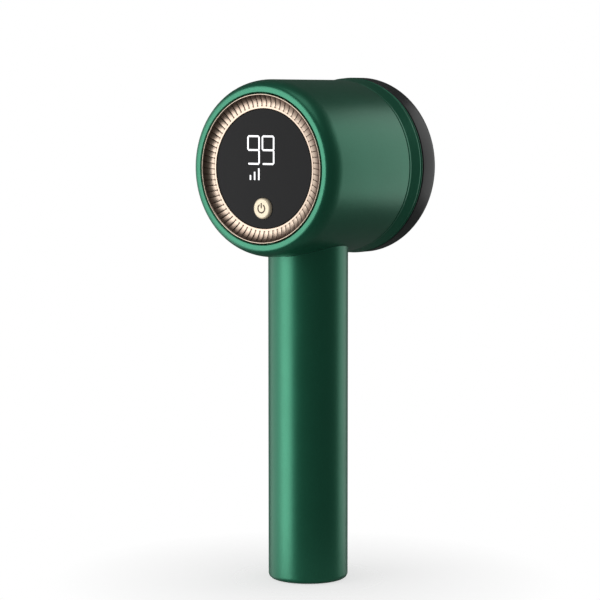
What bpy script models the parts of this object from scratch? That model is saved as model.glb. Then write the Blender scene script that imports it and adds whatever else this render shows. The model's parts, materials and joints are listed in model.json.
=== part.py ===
"""Cordless fabric shaver: a barrel head on an upright round handle, built piece by piece.

Metres, +Z up. The origin is the centre of the handle's foot. The head's axis runs along Y:
the display faces -Y and the cutter faces +Y.
"""

import math

import bmesh
import bpy
from mathutils import Matrix, Vector

MM = 0.001

# ---------------------------------------------------------------- driving sizes
OVERALL_HEIGHT = 215.0 * MM
HEAD_DEPTH = 80.0 * MM
HANDLE_SETBACK = 33.6 * MM  # from the head's front plane to the handle's axis
BARREL_RADIUS = 37.3 * MM
COLLAR_RADIUS = 38.1 * MM  # the flared end, the widest part of the head
HANDLE_RADIUS = 17.05 * MM

SEAT_GAP = 0.3 * MM  # between pieces that rest on or sit in each other
SLIDE_GAP = 0.25 * MM  # beside pieces that travel
SHELL_WALL = 2.2 * MM
RIB_THICK = 1.7 * MM  # ribs that tie the screw posts to their walls
HANDLE_WALL = 2.0 * MM

AXIS_Z = OVERALL_HEIGHT - COLLAR_RADIUS  # height of the head's axis
FRONT_Y = -HANDLE_SETBACK
REAR_Y = FRONT_Y + HEAD_DEPTH
BORE_RADIUS = BARREL_RADIUS - SHELL_WALL  # inside of the barrel

ROUND_STEPS = 48  # facets of the wide turned pieces
SMALL_STEPS = 24  # facets of the narrow ones
FINE_STEPS = 12  # facets of screws and pins
ARC_STEPS = 6
SHARP_ANGLE = math.radians(32)

# ---------------------------------------------------------------- front: ring, lens, board
SHOULDER = 5.3 * MM  # round of the barrel's front edge
SEAT_CHAMFER = 0.4 * MM  # broken edge of the front opening
DECOR_RADIUS = 31.1 * MM
DECOR_RIM = 0.6 * MM  # flat bright rim around the cove
DECOR_DEPTH = 5.0 * MM
WINDOW_RADIUS = 25.0 * MM
WINDOW_RECESS = 1.9 * MM  # the cove's inner edge lies this far behind the rim
COVE_SAG = 0.9 * MM  # how far the cove bows below a straight cone
LENS_RECESS = 0.5 * MM  # lens face behind the cove's inner edge
LENS_FLANGE = 2.0 * MM
LENS_FLANGE_THICK = 1.5 * MM
LEDGE_WIDTH = 2.8 * MM
LEDGE_THICK = 3.0 * MM
BOARD_THICK = 1.6 * MM

SEAT_RADIUS = DECOR_RADIUS + SEAT_GAP + 0.05 * MM
DECOR_BACK_Y = FRONT_Y + DECOR_DEPTH
LEDGE_Y = DECOR_BACK_Y + SEAT_GAP
LEDGE_BACK_Y = LEDGE_Y + LEDGE_THICK
WINDOW_Y = FRONT_Y + WINDOW_RECESS
LENS_Y = WINDOW_Y + LENS_RECESS
LENS_BACK_Y = DECOR_BACK_Y
LENS_STEP_Y = LENS_BACK_Y - LENS_FLANGE_THICK
BOARD_Y = LEDGE_BACK_Y + SEAT_GAP
BOARD_BACK_Y = BOARD_Y + BOARD_THICK
BOARD_RADIUS = BORE_RADIUS - 2.0 * MM
BOARD_SCREW_CIRCLE = SEAT_RADIUS - 0.3 * MM

# the display: two seven-bar digits with a level gauge below
DIGIT_HEIGHT = 12.2 * MM
DIGIT_WIDTH = 6.9 * MM
DIGIT_PITCH = 7.5 * MM
DIGITS_X = -1.35 * MM  # centre of the pair
DIGITS_RISE = 7.7 * MM  # centre of the pair above the head's axis
BAR_THICK = 1.0 * MM
BAR_GAP = 0.12 * MM  # slot to light bar
BAR_SPACING = 0.5 * MM  # between neighbouring bars of a digit
GAUGE_X = (-6.9 * MM, -4.65 * MM, -2.4 * MM)
GAUGE_HEIGHTS = (2.0 * MM, 3.4 * MM, 4.8 * MM)
GAUGE_FOOT = -4.75 * MM
GUIDE_PLATE = 1.0 * MM
GUIDE_MARGIN = 2.0 * MM
LIT_BARS = ("top", "upper_left", "upper_right", "middle", "lower_right", "bottom")

# the power button, its switch and its travel
BUTTON_RADIUS = 4.25 * MM
BUTTON_DROP = 16.5 * MM  # below the head's axis
BUTTON_PROUD = 1.6 * MM
BUTTON_EDGE = 0.9 * MM
BUTTON_FLANGE = 1.0 * MM
BUTTON_FLANGE_THICK = 0.8 * MM
BUTTON_TRAVEL = 0.5 * MM
SWITCH_SIZE = 6.0 * MM
SWITCH_HEIGHT = 1.5 * MM
SWITCH_FLOOR = 0.25 * MM
PLUNGER_RADIUS = 1.7 * MM

# ---------------------------------------------------------------- rear: collar, screw ring, foil
SEAM_FROM_REAR = 23.9 * MM
SPIGOT_LENGTH = 6.15 * MM
SPIGOT_WALL = 2.4 * MM
COLLAR_LENGTH = 8.45 * MM
FLARE_START = 2.8 * MM
FLARE_LENGTH = 5.3 * MM
NOSE_RADIUS = COLLAR_RADIUS - 3.9 * MM
NOSE_LENGTH = 5.5 * MM
THREAD_HEIGHT = 0.9 * MM
THREAD_WIDTH = 1.2 * MM
THREAD_STARTS = 4
THREAD_LEAD = 12.0 * MM  # rise of the ring in one full turn
MALE_ARC = math.radians(80)
FEMALE_ARC = math.radians(66)
FEMALE_LAG = math.radians(40)
THREAD_STEPS = 10
THREAD_BITE = 0.3 * MM  # a thread rib's root inside its own wall

RING_STRAIGHT = 8.2 * MM  # the ring's straight side before its nose rounds in
LIP_RADIUS = 31.6 * MM
LIP_ROUND = 1.2 * MM
MOUTH_RADIUS = 28.4 * MM
FOIL_RECESS = 2.2 * MM  # foil's face behind the ring's lip
FOIL_THICK = 0.3 * MM
FOIL_MARGIN = 2.4 * MM
FRAME_BORE = 28.8 * MM
FRAME_FLANGE_THICK = 2.5 * MM
KEY_WIDTH = 4.0 * MM
KEY_DEPTH = 2.1 * MM
HOLE_RADIUS = 1.45 * MM
HOLE_CIRCLES = ((7.0 * MM, 8), (12.5 * MM, 14), (18.0 * MM, 20), (23.5 * MM, 26))

SEAM_Y = REAR_Y - SEAM_FROM_REAR
COLLAR_Y = SEAM_Y + SEAT_GAP / 2
COLLAR_END_Y = COLLAR_Y + COLLAR_LENGTH
SPIGOT_Y = COLLAR_Y - SPIGOT_LENGTH
SPIGOT_RADIUS = BORE_RADIUS - SEAT_GAP
CHAMBER_RADIUS = SPIGOT_RADIUS - SPIGOT_WALL
NOSE_Y = COLLAR_END_Y + NOSE_LENGTH
RING_Y = COLLAR_END_Y + SEAT_GAP
RING_BORE = NOSE_RADIUS + THREAD_HEIGHT + SEAT_GAP
FOIL_FACE_Y = REAR_Y - FOIL_RECESS
FOIL_BACK_Y = FOIL_FACE_Y - FOIL_THICK
FOIL_RADIUS = MOUTH_RADIUS + FOIL_MARGIN
FRAME_TOP_Y = FOIL_BACK_Y - SEAT_GAP
FRAME_Y = NOSE_Y + SEAT_GAP
FRAME_FLANGE_Y = FRAME_Y + FRAME_FLANGE_THICK
FRAME_RADIUS = FOIL_RADIUS + 0.2 * MM
FLANGE_RADIUS = NOSE_RADIUS - 0.6 * MM

# ---------------------------------------------------------------- motor and cutter
MOTOR_RADIUS = 12.2 * MM
MOTOR_LENGTH = 30.8 * MM
MOTOR_WALL = 0.9 * MM
MOTOR_NOSE_RADIUS = 3.0 * MM
MOTOR_NOSE_LENGTH = 1.5 * MM
END_CAP_THICK = 2.0 * MM
SHAFT_RADIUS = 1.0 * MM
SHAFT_GAP = 0.1 * MM
MAGNET_THICK = 2.0 * MM
AIR_GAP = 0.5 * MM
ARMATURE_LENGTH = 14.0 * MM
COMMUTATOR_RADIUS = 3.0 * MM
COMMUTATOR_LENGTH = 4.0 * MM
MOTOR_SCREW_OFFSET = 8.0 * MM
TERMINAL_OFFSET = 7.0 * MM
TERMINAL_LENGTH = 3.0 * MM
TERMINAL_THICK = 0.6 * MM
TERMINAL_WIDTH = 2.4 * MM

BULKHEAD_THICK = 2.0 * MM
BULKHEAD_SCREW_CIRCLE = 28.6 * MM
POST_RADIUS = 2.8 * MM
POST_LENGTH = 9.0 * MM
HUB_RADIUS = 3.3 * MM
HUB_FLANGE_RADIUS = 8.5 * MM
HUB_FLANGE_THICK = 1.7 * MM
HUB_GRIP = 11.0 * MM  # length of the hub's bore on the shaft
BLADE_THICK = 0.5 * MM
BLADE_CLEARANCE = 0.4 * MM  # blade to foil
BLADE_COUNT = 6
BLADE_RADIUS = 27.6 * MM
BLADE_ROOT_RADIUS = 7.6 * MM
BLADE_SWEEP = math.radians(20)
PEG_RADIUS = 0.9 * MM
PEG_CIRCLE = 5.4 * MM

BULKHEAD_TOP_Y = SPIGOT_Y - SEAT_GAP
BULKHEAD_Y = BULKHEAD_TOP_Y - BULKHEAD_THICK
MOTOR_FRONT_Y = BULKHEAD_Y - SEAT_GAP
MOTOR_BACK_Y = MOTOR_FRONT_Y - MOTOR_LENGTH
MOTOR_NOSE_Y = MOTOR_FRONT_Y + MOTOR_NOSE_LENGTH
MOTOR_BORE = MOTOR_RADIUS - MOTOR_WALL
BLADE_TOP_Y = FOIL_BACK_Y - BLADE_CLEARANCE
BLADE_Y = BLADE_TOP_Y - BLADE_THICK
HUB_TOP_Y = BLADE_Y - SEAT_GAP
HUB_Y = BULKHEAD_TOP_Y + 1.0 * MM
SHAFT_END_Y = HUB_Y + HUB_GRIP - SEAT_GAP

# ---------------------------------------------------------------- handle, battery, charging
FOOT_ROUND = 2.4 * MM
FOOT_OPENING = 14.3 * MM
FOOT_LIP = 2.4 * MM
CAP_FLANGE = 0.75 * MM  # snap bead above the foot's lip
CAP_FLANGE_THICK = 1.6 * MM
CABLE_HOLE_RADIUS = 5.5 * MM
NECK_SCREW_OFFSET = 11.6 * MM
NECK_POST_RADIUS = 2.9 * MM
NECK_SCREW_LENGTH = 17.0 * MM
SPOT_FACE_DEPTH = 1.6 * MM

CELL_RADIUS = 9.15 * MM
CELL_LENGTH = 65.0 * MM
CELL_FOOT = 14.0 * MM
CELL_Y = -3.2 * MM
CRADLE_WALL = 1.15 * MM
CRADLE_BLOCK = 4.0 * MM
CRADLE_BLOCK_FOOT = 8.6 * MM
TAB_THICK = 0.3 * MM
TAB_WIDTH = 6.0 * MM
CHARGE_BOARD_Y = 8.8 * MM
CHARGE_BOARD_WIDTH = 19.0 * MM
SOCKET_WIDTH = 8.95 * MM
SOCKET_HEIGHT = 3.25 * MM
SOCKET_DEPTH = 7.3 * MM
SOCKET_FOOT = 0.6 * MM
SOCKET_WALL = 0.35 * MM
WIRE_RADIUS = 0.65 * MM
WIRE_SPACING = 2.2 * MM

HANDLE_BORE = HANDLE_RADIUS - HANDLE_WALL
CAP_TOP = FOOT_LIP + SEAT_GAP + CAP_FLANGE_THICK
CRADLE_FOOT = CAP_TOP + SEAT_GAP
CELL_TOP = CELL_FOOT + CELL_LENGTH
CRADLE_BLOCK_HEAD = CELL_TOP + 3.0 * MM
CRADLE_TOP = CRADLE_BLOCK_HEAD + CRADLE_BLOCK
SOCKET_Y = CHARGE_BOARD_Y - SEAT_GAP - SOCKET_HEIGHT / 2

# ---------------------------------------------------------------- finishes: colour, roughness, metallic
GREEN = ((0.020, 0.160, 0.085), 0.34, 0.55)
ROSE_GOLD = ((0.71, 0.50, 0.37), 0.25, 1.0)
CREAM_GOLD = ((0.85, 0.74, 0.53), 0.35, 0.8)
SMOKED = ((0.028, 0.028, 0.030), 0.18, 0.0)
MILKY = ((0.9, 0.9, 0.92), 0.4, 0.0)
BLACK = ((0.035, 0.035, 0.036), 0.45, 0.0)
WHITE = ((0.8, 0.8, 0.78), 0.5, 0.0)
STEEL = ((0.55, 0.56, 0.57), 0.3, 1.0)
BRASS = ((0.75, 0.58, 0.28), 0.3, 1.0)
COPPER = ((0.75, 0.38, 0.22), 0.35, 1.0)
FERRITE = ((0.08, 0.08, 0.085), 0.7, 0.1)
LAMINATE = ((0.03, 0.16, 0.08), 0.5, 0.0)
FELT = ((0.62, 0.60, 0.55), 0.95, 0.0)
CELL_WRAP = ((0.07, 0.20, 0.45), 0.4, 0.0)
RED = ((0.55, 0.03, 0.02), 0.45, 0.0)


# ---------------------------------------------------------------- helpers
def clear_scene():
    for old in list(bpy.data.objects):
        bpy.data.objects.remove(old, do_unlink=True)


def new_collection(name):
    made = bpy.data.collections.new(name)
    bpy.context.scene.collection.children.link(made)
    return made


def paint(obj, finish):
    """Gives obj a material of its own, named after it."""
    colour, roughness, metallic = finish
    material = bpy.data.materials.new(obj.name)
    material.use_nodes = True
    shader = material.node_tree.nodes["Principled BSDF"]
    shader.inputs["Base Color"].default_value = (*colour, 1)
    shader.inputs["Roughness"].default_value = roughness
    shader.inputs["Metallic"].default_value = metallic
    obj.data.materials.clear()
    obj.data.materials.append(material)


def add_object(name, data, finish):
    """Puts a mesh or curve in the scene: a part if it has a finish, else a hidden cutter."""
    obj = bpy.data.objects.new(name, data)
    if finish is None:
        CUTTERS.objects.link(obj)
        obj.hide_render = True
        obj.display_type = "WIRE"
    else:
        PARTS.objects.link(obj)
        paint(obj, finish)
    return obj


def evaluated_mesh(obj):
    graph = bpy.context.evaluated_depsgraph_get()
    return bpy.data.meshes.new_from_object(obj.evaluated_get(graph))


def shade(mesh):
    mesh.shade_smooth()
    mesh.set_sharp_from_angle(angle=SHARP_ANGLE)


def arc(centre, radius, start, end, steps=ARC_STEPS):
    """Points of an arc in a profile, as (radius, height); angles in degrees from outwards."""
    points = []
    for i in range(steps + 1):
        angle = math.radians(start + (end - start) * i / steps)
        points.append((centre[0] + radius * math.cos(angle), centre[1] + radius * math.sin(angle)))
    return points


def turned(name, outline, finish, along="Y", centre=(0, 0), steps=ROUND_STEPS):
    """A solid of revolution. The outline runs down its outer side and back up its inner side.

    along is the world axis it turns about, and centre is where that axis lies:
    (x, z) for an axis along Y, and (x, y) for one along Z.
    """
    mesh = bpy.data.meshes.new(name)
    closed = outline[0][0] > 0 or outline[-1][0] > 0
    count = len(outline)
    edges = [(i, i + 1) for i in range(count - 1)]
    if closed:
        edges.append((count - 1, 0))
    mesh.from_pydata([(r, 0, h) for r, h in outline], edges, [])
    obj = add_object(name, mesh, finish)
    screw = obj.modifiers.new("turn", "SCREW")
    screw.steps = steps
    screw.render_steps = steps
    screw.use_merge_vertices = True
    screw.merge_threshold = 0.00001
    solid = evaluated_mesh(obj)
    obj.modifiers.clear()
    obj.data = solid
    shade(solid)
    if along == "Y":
        obj.location = (centre[0], 0, centre[1])
        obj.rotation_euler = (-math.pi / 2, 0, 0)
    else:
        obj.location = (centre[0], centre[1], 0)
    return obj


def rod(name, radius, start, end, finish, along="Y", centre=(0, 0), steps=FINE_STEPS):
    """A plain round rod between two places on its axis."""
    outline = [(0, end), (radius, end), (radius, start), (0, start)]
    return turned(name, outline, finish, along, centre, steps)


def block(name, low, high, finish, edge=0.0):
    """A box between two corners, with its edges broken by edge."""
    mesh = bpy.data.meshes.new(name)
    cube = bmesh.new()
    size = Vector(high) - Vector(low)
    bmesh.ops.create_cube(cube, size=1, matrix=Matrix.Diagonal((*size, 1)))
    cube.to_mesh(mesh)
    cube.free()
    obj = add_object(name, mesh, finish)
    obj.location = (Vector(low) + Vector(high)) / 2
    if edge:
        bevel = obj.modifiers.new("edges", "BEVEL")
        bevel.width = edge
        bevel.segments = 1
    return obj


def combine(obj, other, operation):
    step = obj.modifiers.new(f"{operation.lower()} {other.name}", "BOOLEAN")
    step.operation = operation
    step.solver = "EXACT"
    step.object = other
    return obj


def cut(obj, *cutters):
    for cutter in cutters:
        combine(obj, cutter, "DIFFERENCE")
    return obj


def join(obj, *pieces):
    for piece in pieces:
        combine(obj, piece, "UNION")
    return obj


def flat_shape(name, outlines, low, high, finish):
    """A flat outline, with any holes, as thick as from low to high along the head's axis."""
    curve = bpy.data.curves.new(name, "CURVE")
    curve.dimensions = "2D"
    curve.fill_mode = "BOTH"
    curve.extrude = (high - low) / 2
    for outline in outlines:
        spline = curve.splines.new("POLY")
        spline.points.add(len(outline) - 1)
        spline.use_cyclic_u = True
        for point, (x, y) in zip(spline.points, outline):
            point.co = (x, y, 0, 1)
    return from_curve(name, curve, finish, (0, (low + high) / 2, AXIS_Z), (-math.pi / 2, 0, 0))


def from_curve(name, curve, finish, location=(0, 0, 0), rotation=(0, 0, 0)):
    """A curve made into a mesh object with its caps welded on."""
    guide = bpy.data.objects.new(name + "_guide", curve)
    CUTTERS.objects.link(guide)
    mesh = evaluated_mesh(guide)
    bpy.data.objects.remove(guide, do_unlink=True)
    welded = bmesh.new()
    welded.from_mesh(mesh)
    bmesh.ops.remove_doubles(welded, verts=welded.verts, dist=0.000001)
    welded.to_mesh(mesh)
    welded.free()
    shade(mesh)
    obj = add_object(name, mesh, finish)
    obj.location = location
    obj.rotation_euler = rotation
    return obj


def circle(radius, count, centre=(0, 0), turn=0.0):
    points = []
    for i in range(count):
        angle = turn + math.tau * i / count
        points.append((centre[0] + radius * math.cos(angle), centre[1] + radius * math.sin(angle)))
    return points


def wire(name, points, finish):
    """A round insulated wire through the points, rounded by sampling a smooth curve."""
    curve = bpy.data.curves.new(name, "CURVE")
    curve.dimensions = "3D"
    curve.bevel_depth = WIRE_RADIUS
    curve.bevel_resolution = 1
    curve.use_fill_caps = True
    smooth = smooth_route(points)
    spline = curve.splines.new("POLY")
    spline.points.add(len(smooth) - 1)
    for point, place in zip(spline.points, smooth):
        point.co = (*place, 1)
    return from_curve(name, curve, finish)


def smooth_route(points, per_span=3):
    """Points read from a Catmull-Rom curve through the given ones."""
    knots = [Vector(p) for p in points]
    knots = [2 * knots[0] - knots[1], *knots, 2 * knots[-1] - knots[-2]]
    route = []
    for i in range(1, len(knots) - 2):
        a, b, c, d = knots[i - 1 : i + 3]
        for step in range(per_span):
            t = step / per_span
            route.append(
                0.5
                * (
                    2 * b
                    + (c - a) * t
                    + (2 * a - 5 * b + 4 * c - d) * t**2
                    + (3 * b - a - 3 * c + d) * t**3
                )
            )
    route.append(knots[-2])
    return route


def screw(name, head, shank, start, length, finish=STEEL, along="Y", centre=(0, 0), way=1):
    """A pan-head screw whose head's underside is at start. Its shank runs against way."""
    head_radius, head_height = head
    top = start + way * head_height
    tip = start - way * length
    outline = [(0, top), (head_radius, top), (head_radius, start), (shank, start), (shank, tip), (0, tip)]
    if way < 0:
        outline.reverse()
    return turned(name, outline, finish, along, centre, FINE_STEPS)


def thread_rib(name, inner, outer, middle, start, sweep):
    """A square-section helical rib about the head's axis, as a cutter-side solid to join on.

    middle is the place along the axis of the rib's middle where it starts.
    """
    mesh = bpy.data.meshes.new(name)
    rib = bmesh.new()
    half = THREAD_WIDTH / 2
    corners = [(inner, -half), (outer, -half), (outer, half), (inner, half)]
    first = [rib.verts.new((r, 0, middle + h)) for r, h in corners]
    face = rib.faces.new(first)
    rise = THREAD_LEAD * sweep / math.tau
    bmesh.ops.spin(
        rib,
        geom=[face, *face.edges, *first],
        cent=(0, 0, 0),
        axis=(0, 0, 1),
        dvec=(0, 0, rise / THREAD_STEPS),
        angle=sweep,
        steps=THREAD_STEPS,
    )
    bmesh.ops.recalc_face_normals(rib, faces=rib.faces)
    rib.to_mesh(mesh)
    rib.free()
    obj = add_object(name, mesh, None)
    obj.location = (0, 0, AXIS_Z)
    obj.rotation_euler = (-math.pi / 2, start, 0)
    return obj


def around(count, circle_radius, first=90.0):
    """(x, z) places evenly spaced on a circle about the head's axis; first is in degrees."""
    places = []
    for i in range(count):
        angle = math.radians(first + 360 * i / count)
        places.append((circle_radius * math.cos(angle), AXIS_Z + circle_radius * math.sin(angle)))
    return places


# ---------------------------------------------------------------- head casing
def head_shell():
    """The barrel: open at both ends, round-shouldered, with a ledge behind its front opening."""
    seam = SEAM_Y - SEAT_GAP / 2
    shoulder = arc((BARREL_RADIUS - SHOULDER, FRONT_Y + SHOULDER), SHOULDER, 0, -90)
    ledge_bore = SEAT_RADIUS - LEDGE_WIDTH
    outline = [
        (BARREL_RADIUS, seam),
        *shoulder,
        (SEAT_RADIUS + SEAT_CHAMFER, FRONT_Y),
        (SEAT_RADIUS, FRONT_Y + SEAT_CHAMFER),
        (SEAT_RADIUS, LEDGE_Y),
        (ledge_bore, LEDGE_Y),
        (ledge_bore, LEDGE_BACK_Y),
        (BORE_RADIUS, LEDGE_BACK_Y),
        (BORE_RADIUS, seam),
    ]
    shell = turned("head_shell", outline, GREEN, centre=(0, AXIS_Z))
    for i, (x, z) in enumerate(around(3, BULKHEAD_SCREW_CIRCLE)):
        top = BULKHEAD_Y - SEAT_GAP
        post = rod(f"post_{i}", POST_RADIUS, top - POST_LENGTH, top, None, centre=(x, z), steps=FINE_STEPS)
        web = block(
            f"post_web_{i}",
            (BULKHEAD_SCREW_CIRCLE, top - POST_LENGTH + 0.5 * MM, -RIB_THICK / 2),
            (BORE_RADIUS + SHELL_WALL / 2, top - 0.5 * MM, RIB_THICK / 2),
            None,
        )
        turn_about_axis(web, (BULKHEAD_SCREW_CIRCLE + BORE_RADIUS + SHELL_WALL / 2) / 2, x, z)
        join(shell, post, web)
        pilot = rod(
            f"post_pilot_{i}", SCREW_SHANK + SEAT_GAP, top - POST_LENGTH + 1 * MM, top + 1 * MM, None, centre=(x, z)
        )
        cut(shell, pilot)
    for i, (x, z) in enumerate(around(3, BOARD_SCREW_CIRCLE)):
        pilot = rod(
            f"ledge_pilot_{i}",
            BOARD_SCREW_SHANK + SEAT_GAP,
            LEDGE_BACK_Y - BOARD_SCREW_LENGTH + BOARD_THICK,
            LEDGE_BACK_Y + 1 * MM,
            None,
            centre=(x, z),
        )
        cut(shell, pilot)
    below = AXIS_Z - BARREL_RADIUS - 5 * MM
    cut(shell, rod("cable_hole", CABLE_HOLE_RADIUS, below, AXIS_Z, None, along="Z", steps=SMALL_STEPS))
    for side in (-1, 1):
        place = (side * NECK_SCREW_OFFSET, 0)
        cut(
            shell,
            rod(f"neck_hole_{side}", NECK_SCREW_SHANK + SEAT_GAP, below, AXIS_Z, None, "Z", place),
            rod(f"spot_face_{side}", NECK_SCREW_HEAD[0] + SEAT_GAP, spot_face_z(), AXIS_Z, None, "Z", place),
        )
    for step in shell.modifiers:
        step.solver = "MANIFOLD"
    return shell


def turn_about_axis(obj, distance, x, z):
    """Moves obj, drawn along +X, so that it points at (x, z) about the head's axis."""
    angle = math.atan2(z - AXIS_Z, x)
    obj.rotation_euler = (0, -angle, 0)
    obj.location.x = distance * math.cos(angle)
    obj.location.z = AXIS_Z + distance * math.sin(angle)


def spot_face_z():
    """Height of the flat seats that the neck screws' heads bear on, inside the barrel."""
    outside = AXIS_Z - math.sqrt(BARREL_RADIUS**2 - NECK_SCREW_OFFSET**2)
    return outside + SPOT_FACE_DEPTH


def decor_ring():
    """The bright ring: a flat rim, then a hollow cove that falls to the lens."""
    rim = DECOR_RADIUS - DECOR_RIM
    outline = [(DECOR_RADIUS, DECOR_BACK_Y), (DECOR_RADIUS, FRONT_Y), (rim, FRONT_Y)]
    outline.extend(cove_points(rim))
    outline.extend(
        [
            (WINDOW_RADIUS, LENS_STEP_Y - SEAT_GAP),
            (WINDOW_RADIUS + LENS_FLANGE, LENS_STEP_Y - SEAT_GAP),
            (WINDOW_RADIUS + LENS_FLANGE, DECOR_BACK_Y),
        ]
    )
    return turned("decor_ring", outline, ROSE_GOLD, centre=(0, AXIS_Z))


def cove_points(rim, steps=5):
    """The cove's profile from just inside the rim to the window's edge."""
    points = []
    drop = 0.3 * MM
    for i in range(steps + 1):
        t = i / steps
        radius = rim + (WINDOW_RADIUS - rim) * t
        depth = drop + (WINDOW_RECESS - drop) * t + COVE_SAG * 4 * t * (1 - t) * (1 - 0.5 * t)
        points.append((radius, FRONT_Y + depth))
    return points


def bar_boxes(grow=0.0):
    """(x, z, width, height) of every lit bar, about the head's axis."""
    half_w, half_h = DIGIT_WIDTH / 2, DIGIT_HEIGHT / 2
    across = DIGIT_WIDTH - 2 * BAR_THICK - 2 * BAR_SPACING
    upright = half_h - BAR_SPACING / 2
    middle = (half_h + BAR_SPACING / 2) / 2
    places = {
        "top": (0, half_h - BAR_THICK / 2, across, BAR_THICK),
        "middle": (0, 0, across, BAR_THICK),
        "bottom": (0, -half_h + BAR_THICK / 2, across, BAR_THICK),
        "upper_left": (-half_w + BAR_THICK / 2, middle, BAR_THICK, upright),
        "upper_right": (half_w - BAR_THICK / 2, middle, BAR_THICK, upright),
        "lower_right": (half_w - BAR_THICK / 2, -middle, BAR_THICK, upright),
    }
    boxes = []
    for side in (-1, 1):
        for bar in LIT_BARS:
            x, z, width, height = places[bar]
            boxes.append((DIGITS_X + side * DIGIT_PITCH / 2 + x, DIGITS_RISE + z, width, height))
    for x, height in zip(GAUGE_X, GAUGE_HEIGHTS):
        boxes.append((x, GAUGE_FOOT + height / 2, BAR_THICK, height))
    return [(x, z, width + 2 * grow, height + 2 * grow) for x, z, width, height in boxes]


def bar_block(name, box, low, high):
    x, z, width, height = box
    return block(
        name,
        (x - width / 2, low, AXIS_Z + z - height / 2),
        (x + width / 2, high, AXIS_Z + z + height / 2),
        None,
    )


def display_lens():
    """The smoked window, stepped behind the ring, with slots for the bars and a button hole."""
    face = WINDOW_RADIUS - SEAT_GAP
    flange = WINDOW_RADIUS + LENS_FLANGE - SEAT_GAP
    outline = [
        (0, LENS_BACK_Y),
        (flange, LENS_BACK_Y),
        (flange, LENS_STEP_Y),
        (face, LENS_STEP_Y),
        (face, LENS_Y),
        (0, LENS_Y),
    ]
    lens = turned("display_lens", outline, SMOKED, centre=(0, AXIS_Z))
    hole = rod(
        "button_hole",
        BUTTON_RADIUS + SLIDE_GAP,
        LENS_Y - 1 * MM,
        LENS_BACK_Y + 1 * MM,
        None,
        centre=(0, AXIS_Z - BUTTON_DROP),
        steps=SMALL_STEPS,
    )
    cut(lens, hole)
    for i, box in enumerate(bar_boxes(grow=BAR_GAP)):
        cut(lens, bar_block(f"slot_{i}", box, LENS_Y - 1 * MM, LENS_BACK_Y + 1 * MM))
    return lens


def guide_corners():
    """Corners of the light guide's plate, about the head's axis: (left, foot), (right, head)."""
    reach = DIGIT_PITCH / 2 + DIGIT_WIDTH / 2 + GUIDE_MARGIN
    foot = GAUGE_FOOT - GUIDE_MARGIN
    head = DIGITS_RISE + DIGIT_HEIGHT / 2 + GUIDE_MARGIN
    return (DIGITS_X - reach, foot), (DIGITS_X + reach, head)


def light_guide():
    """A milky plate whose raised bars fill the lens's slots."""
    (left, foot), (right, head) = guide_corners()
    low = LENS_BACK_Y + SEAT_GAP
    plate = block(
        "light_guide", (left, low, AXIS_Z + foot), (right, low + GUIDE_PLATE, AXIS_Z + head), MILKY
    )
    for i, box in enumerate(bar_boxes()):
        join(plate, bar_block(f"light_bar_{i}", box, LENS_Y, low + GUIDE_PLATE / 2))
    return plate


def led_reflector():
    """The white lamp block on the board, behind the light guide."""
    (left, foot), (right, head) = guide_corners()
    low = LENS_BACK_Y + SEAT_GAP + GUIDE_PLATE + SEAT_GAP
    return block(
        "led_reflector",
        (left, low, AXIS_Z + foot),
        (right, BOARD_Y - SEAT_GAP, AXIS_Z + head),
        WHITE,
    )


def display_board():
    """The round circuit board, screwed to the back of the barrel's ledge."""
    board = rod("display_board", BOARD_RADIUS, BOARD_Y, BOARD_BACK_Y, LAMINATE, centre=(0, AXIS_Z), steps=ROUND_STEPS)
    for i, place in enumerate(around(3, BOARD_SCREW_CIRCLE)):
        cut(
            board,
            rod(
                f"board_hole_{i}",
                BOARD_SCREW_SHANK + SEAT_GAP,
                BOARD_Y - 1 * MM,
                BOARD_BACK_Y + 1 * MM,
                None,
                centre=place,
            ),
        )
    return board


def power_button():
    """A domed cap in the lens's hole, with a flange behind the lens that keeps it in."""
    face = LENS_Y - BUTTON_PROUD
    flange_y = LENS_BACK_Y + SEAT_GAP
    back = flange_y + BUTTON_FLANGE_THICK
    outline = [
        (0, back),
        (BUTTON_RADIUS + BUTTON_FLANGE, back),
        (BUTTON_RADIUS + BUTTON_FLANGE, flange_y),
        (BUTTON_RADIUS, flange_y),
        *arc((BUTTON_RADIUS - BUTTON_EDGE, face + BUTTON_EDGE), BUTTON_EDGE, 0, -90, 4),
        (0, face),
    ]
    return turned(
        "power_button", outline, CREAM_GOLD, centre=(0, AXIS_Z - BUTTON_DROP), steps=SMALL_STEPS
    )


def tact_switch():
    """The switch's square body on the board, bored for its plunger."""
    z = AXIS_Z - BUTTON_DROP
    top = BOARD_Y - SEAT_GAP - SWITCH_HEIGHT
    half = SWITCH_SIZE / 2
    body = block("tact_switch", (-half, top, z - half), (half, BOARD_Y - SEAT_GAP, z + half), BLACK)
    bore = rod(
        "switch_bore",
        PLUNGER_RADIUS + SLIDE_GAP,
        top - 1 * MM,
        BOARD_Y - SEAT_GAP - SWITCH_FLOOR,
        None,
        centre=(0, z),
    )
    return cut(body, bore)


def switch_plunger():
    """The switch's plunger, which the button pushes into the body."""
    start = LENS_BACK_Y + SEAT_GAP + BUTTON_FLANGE_THICK + SEAT_GAP / 2
    floor = BOARD_Y - SEAT_GAP - SWITCH_FLOOR
    end = floor - BUTTON_TRAVEL - SEAT_GAP / 2
    return rod("switch_plunger", PLUNGER_RADIUS, start, end, WHITE, centre=(0, AXIS_Z - BUTTON_DROP))


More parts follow.
